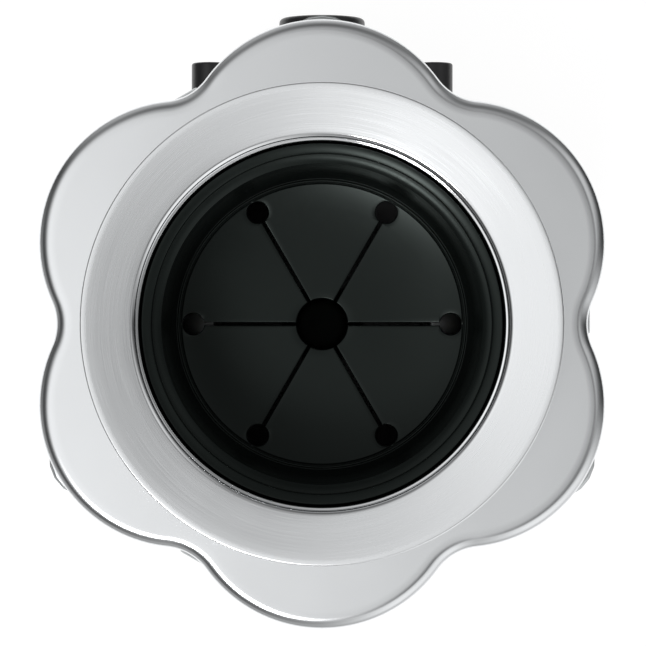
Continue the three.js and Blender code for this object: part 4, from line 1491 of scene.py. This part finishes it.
@dataclass
class GrindChamber(SubAssembly):
    """The hopper with its inlet, and the ring that the lugs throw waste against."""

    lip: float = 55.0
    lip_bore: float = 45.0
    lip_top: float = -43.0
    lip_under: float = -46.0
    neck: float = 49.3
    neck_end: float = -53.0
    radius: float = 64.0
    wall_top: float = -62.0
    bore: float = 61.0
    bore_top: float = -64.0
    roof: float = 55.5
    roof_height: float = -57.0
    end: float = -118.0
    flange: float = 67.5
    flange_height: float = 5.0
    ears: int = 4
    ear: float = 5.0
    ear_circle: float = 68.3
    first_ear: float = 45.0  # bearing in degrees
    screw_end: float = -126.0
    inlet_height: float = -69.0
    inlet: float = 11.1
    inlet_bore: float = 8.6
    inlet_root: float = 56.0
    inlet_end: float = 79.3
    teeth: int = 20
    ring_low: float = -122.0
    ring_high: float = -106.0

    def inlet_tube(self) -> bpy.types.Object:
        """Build the dishwasher inlet with a bead round its end.

        Returns:
            The tube, in place.
        """
        root, end, r = self.inlet_root, self.inlet_end, self.inlet
        tube = turned("inlet", [
            (0, root), (r + 2, root), (r + 2, 66.5, 1.0), (r, 67.0, 0.8), (r - 0.5, 72.5, 0.6),
            (r, end - 3.2, 0.5),
            (r, end, 1.7), (self.inlet_bore, end, 0.5), (self.inlet_bore, end - 2.5), (0, end - 2.5),
        ], 96)
        return moved(laid(tube, LAID_BACK), z=self.inlet_height)

    def hopper(self) -> bpy.types.Object:
        """Build the hopper.

        Returns:
            The hopper with its inlet and ears.
        """
        end, high = self.end, self.end + self.flange_height
        roof, ceiling = self.roof, self.roof_height
        shell = turned("hopper_visual", [
            (self.bore, end, 0.2), (self.flange, end, 0.3), (self.flange, high, 0.8),
            (self.radius, high, 1.2), (self.radius, self.wall_top, 3.5), (62.5, -57.5, 3.0),
            (57, -53.8, 2.5), (self.neck, self.neck_end, 2.0), (self.neck, self.lip_under, 0.8),
            (self.lip, self.lip_under, 0.5), (self.lip, self.lip_top, 0.9),
            (self.lip_bore, self.lip_top, 0.5), (self.lip_bore, -55.5, 1.0), (roof, ceiling, 2.0),
            (60, -60, 2.0), (self.bore, self.bore_top, 2.0),
        ], 192)
        cavity = turned("cavity", [
            (0, end - 1), (self.bore, end - 1), (self.bore, self.bore_top), (roof, ceiling - 0.3),
            (0, ceiling - 0.3),
        ], 192)
        tube = combined(self.inlet_tube(), Cut.DIFFERENCE, cavity)
        ear = rod("ear", self.ear, end, high, 40, (0.3, 0.7), 3)
        ears = around(ear, Slot.BLACK_PLASTIC, self.ears, self.first_ear, self.ear_circle)
        combined(ears, Cut.DIFFERENCE, rod("inside", self.bore + 1, end - 1, high + 1, 192))
        bore = laid(rod("bore", self.inlet_bore, self.inlet_root - 6, self.inlet_end + 10.7, 64), LAID_BACK)
        moved(bore, z=self.inlet_height)
        combined(shell, Cut.UNION, tube, ears)
        return combined(shell, Cut.DIFFERENCE, bore)

    def plug(self) -> bpy.types.Object:
        """Build the knock-out plug with a pry rim.

        Returns:
            The plug, in place.
        """
        plug = turned("dishwasher_plug_visual", [
            (0, 61.5), (8.3, 61.5, 0.2), (8.3, 64, 0.4), (6.6, 64, 0.3), (6.2, 63.2, 0.3), (0, 63.2),
        ], 64, 3)
        return moved(laid(plug, LAID_BACK), z=self.inlet_height)

    def screws(self) -> bpy.types.Object:
        """Build the screws that join the hopper to the discharge chamber.

        Returns:
            One piece that holds all of them.
        """
        low, seat = self.screw_end, self.end + self.flange_height + 0.3
        top = seat + 3.2
        screw = turned("hopper_screws_visual", [
            (0, low), (2.3, low, 0.4), (2.3, seat), (4.2, seat, 0.2), (4.2, top - 1, 0.9), (2.5, top, 0.6),
            (0, top),
        ], 36, 3)
        combined(screw, Cut.DIFFERENCE, *cross(2.1, 0.45, top - 1.6, top + 1.8))
        return around(screw, Slot.ZINC_STEEL, self.ears, self.first_ear, self.ear_circle)

    def grind_ring(self) -> bpy.types.Object:
        """Build the toothed ring.

        Returns:
            The ring.
        """
        low, high = self.ring_low, self.ring_high
        ring = turned("grind_ring_visual", [
            (59, low, 0.3), (60.7, low, 0.3), (60.7, high, 0.4), (59, high, 0.4),
        ])
        outline = [(59.6, -4.0), (59.6, 4.0), (57.0, 3.4, 0.5), (57.0, -3.4, 0.5)]
        tooth = prism("tooth", outline, low, high, 0.25)
        return combined(ring, Cut.UNION, around(tooth, Slot.STAINLESS_GRIND, self.teeth, 4))

    def build(self) -> list[Piece]:
        """Build the chamber.

        Returns:
            The pieces.
        """
        screws = tuple(f"hopper_screw_{i + 1}" for i in range(self.ears))
        return [
            Piece(self.hopper(), Body.ROOT, Slot.BLACK_PLASTIC, ("hopper",)),
            Piece(self.plug(), Body.ROOT, Slot.BLACK_PLASTIC, ("dishwasher_plug",)),
            Piece(self.screws(), Body.ROOT, Slot.ZINC_STEEL, screws),
            Piece(self.grind_ring(), Body.ROOT, Slot.STAINLESS_GRIND, ("grind_ring",)),
        ]


@dataclass
class Rotor(SubAssembly):
    """The turntable, its two swivelling lugs and what holds them."""

    radius: float = 56.4
    top: float = -119.0
    under: float = -121.0
    bore: float = 5.0
    hub: float = 12.0
    hub_bore: float = 6.0
    hub_end: float = -127.0
    drains: int = 4
    drain: float = 2.0
    drain_circle: float = 45.0
    seat: float = -118.7  # where the lugs, the nut and the cap stand
    lug_circle: float = 34.0
    lug_reach: float = 19.0
    lug_sheet: float = 3.0
    lug_half: float = 5.0
    lug_tail: float = 6.5
    lug_top: float = -108.7
    rivet: float = 3.0
    rivet_head: float = 5.0
    nut_reach: float = 8.1
    nut_top: float = -113.0
    cap: float = 10.4
    cap_bore: float = 8.5
    cap_top: float = -108.6

    def turntable(self) -> bpy.types.Object:
        """Build the turntable with its hub and drain holes.

        Returns:
            The turntable.
        """
        top, under = self.top, self.under
        disc = turned("turntable_visual", [
            (self.hub_bore, self.hub_end, 0.2), (self.hub, self.hub_end, 0.4), (self.hub, under, 0.8),
            (self.radius, under, 0.4), (self.radius, top, 0.6), (self.bore, top, 0.2), (self.bore, under),
            (self.hub_bore, under),
        ])
        drain = rod("drain", self.drain, under - 2, top + 2, 24)
        drains = around(drain, Slot.STAINLESS_GRIND, self.drains, 45, self.drain_circle)
        return combined(disc, Cut.DIFFERENCE, drains)

    def lug(self, number: int) -> Piece:
        """Build one lug, a flat tail with an upright striking face, at its pivot.

        Args:
            number: Its number, from 1.

        Returns:
            The piece.
        """
        low, reach, half, tail = self.seat, self.lug_reach, self.lug_half, self.lug_tail
        outline = [
            (reach, -half, 0.8), (reach, half, 0.8), (3, tail, 3), (-tail, tail, 6.4), (-tail, -tail, 6.4),
            (3, -tail, 3),
        ]
        lug = prism(f"impeller_lug_{number}_visual", outline, low, low + self.lug_sheet, 0.4)
        upright = box("upright", (reach - 5, -half, low), (reach, half, self.lug_top), 0.8)
        combined(lug, Cut.UNION, upright)
        combined(lug, Cut.DIFFERENCE, rod("hole", self.rivet + 0.3, low - 1, low + 4, 32))
        around(lug, Slot.STAINLESS_GRIND, 1, 180 * (number - 1), self.lug_circle)
        return Piece(lug, Body(f"lug_{number}"), Slot.STAINLESS_GRIND, (f"impeller_lug_{number}",))

    def rivets(self) -> bpy.types.Object:
        """Build the rivets that the lugs turn on.

        Returns:
            One piece that holds both.
        """
        shank, head = self.rivet, self.rivet_head
        over, below = self.seat + self.lug_sheet + 0.3, self.under - 0.3
        rivet = turned("lug_rivets_visual", [
            (0, below - 2), (head - 0.4, below - 2, 0.8), (head, below, 0.2), (shank, below), (shank, over),
            (head, over, 0.2), (head - 0.4, over + 1.4, 1.2), (0, over + 2),
        ], 40, 4)
        return around(rivet, Slot.ZINC_STEEL, 2, 0, self.lug_circle)

    def nut(self) -> bpy.types.Object:
        """Build the hexagonal nut.

        Returns:
            The nut.
        """
        turns = [TAU * k / 6 for k in range(6)]
        outline = [(self.nut_reach * math.cos(turn), self.nut_reach * math.sin(turn)) for turn in turns]
        nut = prism("turntable_nut_visual", outline, self.seat, self.nut_top, 0.5)
        return combined(nut, Cut.DIFFERENCE, rod("stud", self.bore, self.seat - 1.3, self.nut_top + 1, 48))

    def hub_cap(self) -> bpy.types.Object:
        """Build the domed cap over the nut.

        Returns:
            The cap.
        """
        bore, seat, top = self.cap_bore, self.seat, self.cap_top
        return turned("hub_cap_visual", [
            (bore, seat, 0.2), (self.cap, seat, 0.4), (self.cap, top - 2.8, 2.4), (6.0, top - 0.2, 4.0),
            (0, top), (0, top - 1.1), (5.2, top - 1.1, 0.5), (bore, top - 4.1, 0.5),
        ], 96)

    def build(self) -> list[Piece]:
        """Build the rotor's showing parts.

        Returns:
            The pieces.
        """
        rivets, nut, cap = self.rivets(), self.nut(), self.hub_cap()
        return [
            Piece(self.turntable(), Body.ROTOR, Slot.STAINLESS_GRIND, ("turntable",)),
            Piece(cap, Body.ROTOR, Slot.SEAL_RUBBER, ("hub_cap",)),
            self.lug(1),
            self.lug(2),
            Piece(rivets, Body.ROTOR, Slot.ZINC_STEEL, ("lug_rivet_1", "lug_rivet_2")),
            Piece(nut, Body.ROTOR, Slot.ZINC_STEEL, ("turntable_nut",)),
        ]


@dataclass
class DischargeChamber(SubAssembly):
    """The chamber under the turntable, with the port that the drain elbow bolts to."""

    top: float = -118.3
    end: float = -172.0
    radius: float = 66.0
    bore: float = 62.5
    flange: float = 67.5
    floor: float = -168.0
    port_height: float = -150.0
    port_bore: float = 17.0
    port_neck: float = 21.0
    port_face: float = 74.8
    port_root: float = 40.0
    boss: float = 5.3
    boss_reach: float = 32.15
    bolt: float = 2.2
    bolt_end: float = 60.8
    foot: float = 69.5
    seat: float = 58.8  # bore under the grind ring
    ears: int = 4
    ear: float = 5.0
    ear_circle: float = 68.3
    first_ear: float = 45.0  # bearing in degrees
    ear_end: float = -129.0

    def along_port(self, standing: bpy.types.Object, x: float = 0.0) -> bpy.types.Object:
        """Lay what stands on Z along the port's direction, at a distance to one side."""
        return moved(laid(standing, LAID_BACK), x, 0, self.port_height)

    def port(self) -> bpy.types.Object:
        """Build the port's neck, its two screw bosses and the web between them.

        Returns:
            The port, still solid.
        """
        face, root, reach, middle = self.port_face, self.port_root, self.boss_reach, self.port_height
        neck = self.along_port(rod("neck", self.port_neck, root, face, 96, (0.0, 0.8)))
        bosses = [
            self.along_port(rod("boss", self.boss, root, face, 64, (0.0, 0.7)), x) for x in (-reach, reach)
        ]
        web = box("web", (-reach, face - 5, middle - 4), (reach, face, middle + 4), 0.6)
        return combined(neck, Cut.UNION, *bosses, web)

    def build(self) -> list[Piece]:
        """Build the chamber, its port, ears and bolt holes.

        Returns:
            The piece.
        """
        low, seat = self.top - 5, self.seat
        shell = turned("discharge_chamber_visual", [
            (16.3, self.end, 0.3), (self.foot, self.end, 0.4), (self.foot, -169, 0.9),
            (self.radius, -164, 3.0), (self.radius, low, 1.2), (self.flange, low, 0.8),
            (self.flange, self.top, 0.3), (63.2, self.top, 0.1), (63.2, -120.2), (61, -120.2),
            (61, -122.3), (seat, -122.3, 0.4), (seat, -125.5, 0.8),
            (self.bore, -130, 1.5), (self.bore, -165, 2.0), (59, self.floor, 2.0), (19, self.floor, 2.0),
            (17.5, -136, 0.6), (13, -136, 0.2), (13, -160), (16.3, -160),
        ], 192)
        cavity = turned("cavity", [
            (0, self.floor), (seat, self.floor), (self.bore, -164), (self.bore, -130), (seat, -126),
            (seat, -110), (0, -110),
        ], 192)
        outside = combined(self.port(), Cut.DIFFERENCE, cavity)
        ear = rod("ear", self.ear, self.ear_end, self.top, 40, (0.8, 0.3), 3)
        ears = around(ear, Slot.BLACK_PLASTIC, self.ears, self.first_ear, self.ear_circle)
        combined(ears, Cut.DIFFERENCE, rod("inside", self.radius - 1, self.ear_end - 2, -110, 192))
        combined(shell, Cut.UNION, outside, ears)
        beyond = self.port_face + 5.2
        bore = self.along_port(rod("bore", self.port_bore, 45, beyond, 96))
        holes = [
            self.along_port(rod("hole", self.bolt, self.bolt_end, beyond, 32), x)
            for x in (-self.boss_reach, self.boss_reach)
        ]
        combined(shell, Cut.DIFFERENCE, bore, *holes)
        return [Piece(shell, Body.ROOT, Slot.BLACK_PLASTIC, ("discharge_chamber",))]


@dataclass
class Base(SubAssembly):
    """The motor housing and the bottom cover with all that is set in it."""

    radius: float = 71.0
    wall: float = 3.0
    top: float = -172.3
    seam: float = -288.0
    base: float = -312.0
    floor: float = -309.0
    lines: tuple[float, float] = (-281.0, -186.4)  # where the shadow lines start
    line_depth: float = 0.6
    post_circle: float = 52.0
    posts: int = 3
    post: float = 7.0
    sink: float = 5.0
    button_x: float = 22.0
    button_y: float = 36.0
    wiring_near: float = -54.0
    wiring_far: float = -20.0
    wiring_half: float = 16.0
    wiring_corner: float = 2.0
    wiring_edge: float = 4.0
    screw_side: float = 10.0  # how much of the wiring cover its screw takes up
    cord: float = 8.3
    cord_height: float = -299.0

    def housing(self) -> bpy.types.Object:
        """Build the housing with a shadow line near each end.

        Returns:
            The housing.
        """
        r, seam, top = self.radius, self.seam, self.top
        inner, groove = r - self.wall, r - self.line_depth
        lines = [
            point for z in self.lines
            for point in ((r, z, 0.25), (groove, z + 0.2, 0.2), (groove, z + 1.2, 0.2), (r, z + 1.4, 0.25))
        ]
        return turned("motor_housing_visual", [
            (inner, seam, 0.3), (r, seam, 0.5), *lines, (r, -177, 3.0), (69.5, top, 0.8), (66.5, top, 0.3),
            (inner, -177, 1.0),
        ], 192)

    def cover(self) -> bpy.types.Object:
        """Build the bottom cover with its counterbores, button hole and wiring recess.

        Returns:
            The cover.
        """
        r, base, floor, rim = self.radius, self.base, self.floor, self.seam - 0.3
        dish = turned("bottom_cover_visual", [
            (0, base), (60, base, 2.5), (66.5, -309, 4.0), (69.5, -303, 4.0),
            (r, rim, 0.5), (r - self.wall, rim, 0.3),
            (66.5, -302.5, 3.0), (63.5, -306.5, 3.0), (58, floor, 2.0), (0, floor),
        ], 192)
        post = rod("post", self.post, floor - 1, -287)
        combined(dish, Cut.UNION, around(post, Slot.BLACK_PLASTIC, self.posts, 0, self.post_circle))
        sink = turned("sink", [
            (0, base - 1), (self.sink, base - 1), (self.sink, base + 4), (2.6, base + 4),
            (2.6, -280), (0, -280),
        ], 40)
        near, far, half = self.wiring_near, self.wiring_far, self.wiring_half
        panel, edge = far - self.screw_side, self.wiring_edge
        return combined(
            dish, Cut.DIFFERENCE,
            around(sink, Slot.BLACK_PLASTIC, self.posts, 0, self.post_circle),
            moved(rod("button", 5, base - 1, floor + 1, 48), self.button_x, self.button_y),
            box("recess", (near - 0.3, -half - 0.3, base - 1), (far + 0.3, half + 0.3, base + 2), 0),
            box("window", (near + edge, edge - half, base - 1), (panel, half - edge, floor + 1), 0),
            moved(laid(rod("cord", self.cord, 60, 80, 48), LAID_LEFT), z=self.cord_height),
        )

    def crossed_screw(self, name: str, head: float, end: float, shank: float) -> bpy.types.Object:
        """Build a screw driven from below, with a crossed recess in its head.

        Args:
            name: The object's name.
            head: The head's radius.
            end: Where the shank ends.
            shank: The shank's radius.

        Returns:
            The screw, on the origin's axis.
        """
        low = self.base + 0.2
        neck = low + 1.5 + 0.4 * head
        screw = turned(name, [
            (0, low), (head - 0.3, low, 0.5), (head, low + 0.9, 0.3), (head, neck, 0.2), (shank, neck),
            (shank, end, 0.4), (0, end),
        ], 40, 3)
        return combined(screw, Cut.DIFFERENCE, *cross(0.55 * head, 0.5, low - 1, low + 1.4))

    def wiring_cover(self) -> bpy.types.Object:
        """Build the plate over the wiring recess, with a pressed panel.

        Returns:
            The plate.
        """
        near, far, half = self.wiring_near, self.wiring_far, self.wiring_half
        low, corner, edge = self.base + 0.1, self.wiring_corner, self.wiring_edge

        def sheet(x_low: float, x_high: float, y: float) -> Profile:
            """Return a rectangle with round corners."""
            return [(x_low, -y, corner), (x_high, -y, corner), (x_high, y, corner), (x_low, y, corner)]

        plate = prism("wiring_cover_visual", sheet(near, far, half), low, low + 1.6, 0.3)
        dip = prism("dip", sheet(near + edge, far - self.screw_side, half - edge), low - 1, low + 0.5, 0)
        hole = moved(rod("hole", 3.5, low - 2, low + 3), far - self.screw_side / 2)
        return combined(plate, Cut.DIFFERENCE, dip, hole)

    def bushing(self) -> bpy.types.Object:
        """Build the rubber bushing in the cord's hole.

        Returns:
            The bushing, in place.
        """
        bushing = turned("cord_bushing_visual", [
            (4.5, 64, 0.3), (8, 64, 0.4), (8, 71.3, 0.1), (10, 71.3, 0.5), (10, 73.4, 1.0), (7.5, 73.6, 0.5),
            (4.5, 73.6, 0.6),
        ], 72)
        return moved(laid(bushing, LAID_LEFT), z=self.cord_height)

    def reset_button(self) -> bpy.types.Object:
        """Build the reset button with a dished face.

        Returns:
            The button, in place.
        """
        low, high = self.base + 0.4, self.floor
        button = turned("reset_button_visual", [
            (0, low + 0.5), (2.6, low + 0.4, 1.5), (4.0, low, 0.4), (4.6, low + 0.6, 0.4), (4.6, high, 0.2),
            (1.8, high), (1.8, high + 9, 0.3), (0, high + 9),
        ], 48)
        return moved(button, self.button_x, self.button_y)

    def build(self) -> list[Piece]:
        """Build the housing, cover, screws, bushing and button.

        Returns:
            The pieces.
        """
        cover_screw = self.crossed_screw("cover_screws_visual", 4.6, -280, 2.3)
        cover_screws = around(cover_screw, Slot.ZINC_STEEL, self.posts, 0, self.post_circle)
        wiring_screw = self.crossed_screw("wiring_cover_screw_visual", 3.2, -304, 1.8)
        moved(wiring_screw, self.wiring_far - self.screw_side / 2)
        cover_screw_nodes = tuple(f"cover_screw_{i + 1}" for i in range(self.posts))
        return [
            Piece(self.housing(), Body.ROOT, Slot.BLACK_PLASTIC, ("motor_housing",)),
            Piece(self.cover(), Body.ROOT, Slot.BLACK_PLASTIC, ("bottom_cover",)),
            Piece(cover_screws, Body.ROOT, Slot.ZINC_STEEL, cover_screw_nodes),
            Piece(self.wiring_cover(), Body.ROOT, Slot.ZINC_STEEL, ("wiring_cover",)),
            Piece(wiring_screw, Body.ROOT, Slot.ZINC_STEEL, ("wiring_cover_screw",)),
            Piece(self.bushing(), Body.ROOT, Slot.SEAL_RUBBER, ("cord_bushing",)),
            Piece(self.reset_button(), Body.RESET, Slot.RED_PLASTIC, ("reset_button",)),
        ]


# ------------------------------------------------------------------------------ surroundings
@dataclass
class Studio:
    """The camera, the floor, the lamp and the surroundings that metal reflects."""

    eye: tuple[float, float, float] = (0.00024, 0.00024, 0.7036)
    lens: float = 165.66
    sensor: float = 36.0
    floor_height: float = -0.3122
    floor_radius: float = 0.55
    floor_shade: float = 0.85  # what the floor throws back on the object
    shadow_shade: float = 0.3
    shadow_glow: float = 0.8
    fade_start: float = 0.3
    fade_end: float = 0.495
    key_bearing: float = 242.0
    key_tilt: float = 34.0
    key_distance: float = 1.3
    key_size: float = 0.44
    key_power: float = 8.5
    gradient_bearing: float = 197.0
    overhead: tuple[tuple[float, float], ...] = (  # lean towards the gradient's bearing and brightness there
        (-0.30, 0.50), (-0.17, 0.95), (-0.085, 1.06), (0.0, 0.99), (0.085, 1.23), (0.17, 1.4), (0.30, 1.5),
    )
    overhead_end: float = 4.5  # degrees from straight up where the walls start to show
    reflected: float = 0.81
    soft: float = 0.8  # light that falls on what isn't a mirror
    # brightness round the studio, at each angle from straight up, every 30 degrees from +X
    walls: tuple[tuple[float, tuple[float, ...]], ...] = (
        (10, (0.26, 0.22, 0.27, 0.55, 0.82, 1.32, 1.43, 1.25, 0.75, 0.84, 0.65, 0.36)),
        (17, (0.22, 0.22, 0.25, 0.50, 0.78, 1.20, 1.25, 1.00, 0.50, 0.78, 0.52, 0.28)),
        (30, (0.60, 0.85, 0.38, 0.48, 0.55, 1.23, 0.80, 1.25, 0.50, 0.62, 0.10, 0.12)),
        (45, (0.22, 0.92, 0.28, 0.25, 0.26, 0.70, 0.20, 0.45, 0.15, 0.40, 1.20, 0.80)),
        (60, (0.10, 0.70, 0.21, 0.12, 0.22, 0.24, 0.04, 0.08, 0.05, 0.40, 1.30, 1.15)),
        (76, (0.07, 0.25, 0.21, 0.25, 0.38, 0.08, 0.08, 0.06, 0.14, 0.50, 1.35, 1.15)),
        (92, (0.04, 0.07, 0.30, 0.52, 0.53, 0.05, 0.29, 0.38, 0.50, 0.53, 1.10, 1.10)),
        (112, (0.02, 0.03, 0.30, 0.80, 0.50, 0.05, 0.30, 0.65, 0.45, 0.48, 0.70, 0.95)),
    )

    def camera(self) -> None:
        """Place the camera straight above the drain."""
        data = bpy.data.cameras.new("camera")
        data.lens, data.sensor_width = self.lens, self.sensor
        data.clip_start, data.clip_end = 0.01, 50.0
        camera = bpy.data.objects.new("camera", data)
        camera.location = self.eye
        bpy.context.scene.collection.objects.link(camera)
        bpy.context.scene.camera = camera

    def lamp(self) -> None:
        """Hang one large soft lamp that looks at the drain."""
        data = bpy.data.lights.new("key", "AREA")
        data.shape, data.size, data.energy = "DISK", self.key_size, self.key_power
        lamp = bpy.data.objects.new("key", data)
        bearing, tilt = math.radians(self.key_bearing), math.radians(self.key_tilt)
        reach = math.sin(tilt)
        away = Vector((reach * math.cos(bearing), reach * math.sin(bearing), math.cos(tilt)))
        lamp.location = away * self.key_distance
        lamp.rotation_euler = away.to_track_quat("Z", "Y").to_euler()
        bpy.context.scene.collection.objects.link(lamp)

    def floor(self) -> None:
        """Lay a pale round floor that shows white, but for the shadow on it."""
        mesh = bmesh.new()
        bmesh.ops.create_circle(mesh, cap_ends=True, radius=self.floor_radius, segments=96)
        bmesh.ops.translate(mesh, verts=mesh.verts, vec=(0, 0, self.floor_height))
        data = bpy.data.meshes.new("floor")
        mesh.to_mesh(data)
        mesh.free()
        floor = bpy.data.objects.new("floor", data)
        bpy.context.scene.collection.objects.link(floor)
        material = bpy.data.materials.new("pale_floor")
        material.use_nodes = True
        nodes = Nodes(material.node_tree)
        lit, some = (
            nodes.add("ShaderNodeBsdfDiffuse", {"Color": (grey, grey, grey, 1.0)}).outputs[0]
            for grey in (self.floor_shade, self.shadow_shade)
        )
        glow, white = (
            nodes.add("ShaderNodeEmission", {"Color": WHITE, "Strength": strength}).outputs[0]
            for strength in (self.shadow_glow, 1.0)
        )
        nearby = nodes.add("ShaderNodeAddShader", {0: some, 1: glow}).outputs[0]
        place = nodes.add("ShaderNodeTexCoord").outputs["Object"]
        distance = nodes.vector("LENGTH", nodes.vector("MULTIPLY", place, (1.0, 1.0, 0.0)))
        reach = nodes.span(distance, self.fade_start, self.fade_end, 0.0, 1.0, True)
        shown = nodes.add("ShaderNodeMixShader", {0: reach, 1: nearby, 2: white}).outputs[0]
        path = nodes.add("ShaderNodeLightPath").outputs
        seen = nodes.math("MAXIMUM", path["Is Camera Ray"], path["Is Glossy Ray"])
        seen = nodes.math("MAXIMUM", seen, path["Is Transmission Ray"])
        above = nodes.add("ShaderNodeMixShader", {0: seen, 1: lit, 2: shown}).outputs[0]
        clear = nodes.add("ShaderNodeBsdfTransparent").outputs[0]
        behind = nodes.add("ShaderNodeNewGeometry").outputs["Backfacing"]
        both = nodes.add("ShaderNodeMixShader", {0: behind, 1: above, 2: clear}).outputs[0]
        nodes.add("ShaderNodeOutputMaterial", {"Surface": both})
        data.materials.append(material)

    def surroundings(self) -> None:
        """Surround the object with white for the camera and a graded studio for what reflects it."""
        world = bpy.data.worlds.new("studio")
        world.use_nodes = True
        bpy.context.scene.world = world
        nodes = Nodes(world.node_tree)
        way = nodes.add("ShaderNodeTexCoord").outputs["Generated"]
        x, y, z = nodes.split(way)
        bearing = math.radians(self.gradient_bearing)
        toward = nodes.vector("DOT_PRODUCT", way, (math.cos(bearing), math.sin(bearing), 0.0))
        start, end = self.overhead[0][0], self.overhead[-1][0]
        stops = [((lean - start) / (end - start), (level,) * 3) for lean, level in self.overhead]
        graded = nodes.shades(nodes.span(toward, start, end, 0.0, 1.0), *stops)
        turn = nodes.math("FRACT", nodes.math("DIVIDE", nodes.math("ARCTAN2", y, x), TAU))
        tilt = nodes.math("ARCCOSINE", z)
        above = math.radians(self.overhead_end)
        for degrees, levels in self.walls:
            count = len(levels)
            ring = [(k / count, (levels[k % count],) * 3) for k in range(count + 1)]
            wall = nodes.shades(turn, *ring)
            here = math.radians(degrees)
            share = nodes.span(tilt, above, here, 0.0, 1.0)
            mixed = nodes.add("ShaderNodeMix", {0: share}, data_type="RGBA")
            nodes.put(mixed.inputs[6], graded)
            nodes.put(mixed.inputs[7], wall)
            graded, above = mixed.outputs[2], here
        reflected, soft, white = (
            nodes.add("ShaderNodeBackground", {"Color": colour, "Strength": strength}).outputs[0]
            for colour, strength in ((graded, self.reflected), (WHITE, self.soft), (WHITE, 1.0))
        )
        path = nodes.add("ShaderNodeLightPath").outputs
        glossy = nodes.add("ShaderNodeMixShader", {0: path["Is Glossy Ray"], 1: soft, 2: reflected})
        inputs = {0: path["Is Camera Ray"], 1: glossy.outputs[0], 2: white}
        seen = nodes.add("ShaderNodeMixShader", inputs)
        nodes.add("ShaderNodeOutputWorld", {"Surface": seen.outputs[0]})

    def build(self) -> None:
        """Set up everything that isn't part of the object."""
        bpy.context.scene.view_settings.view_transform = "Standard"
        self.camera()
        self.lamp()
        self.floor()
        self.surroundings()


def dress_hidden_nodes(frame: dict[str, Any], stood_for: set[str]) -> None:
    """Give each CAD node that still shows the finish of its slot.

    Args:
        frame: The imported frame.
        stood_for: Names of the nodes that a piece stands for.
    """
    slots = {part["node"]: Slot(part["material_slot"]) for part in frame["record"]["subparts"]}
    for name, node in frame["nodes"].items():
        if name in stood_for:
            continue
        node.data.materials.clear()
        node.data.materials.append(FINISHES[slots[name]].material)
        LOG.info("%s: CAD shape in %s", name, slots[name].value)


def main() -> None:
    """Build the visual model round the frame."""
    logging.basicConfig(level=logging.INFO, format="%(message)s")
    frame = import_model()
    stood_for: set[str] = set()
    assemblies = (
        DrainFlange(), TwistLock(), SplashBaffle(), GrindChamber(), Rotor(), DischargeChamber(), Base(),
    )
    for assembly in assemblies:
        pieces = assembly.build()
        assembly.dress(pieces)
        stood_for.update(node for piece in pieces for node in piece.nodes)
    dress_hidden_nodes(frame, stood_for)
    Studio().build()


if __name__ == "__main__":
    main()
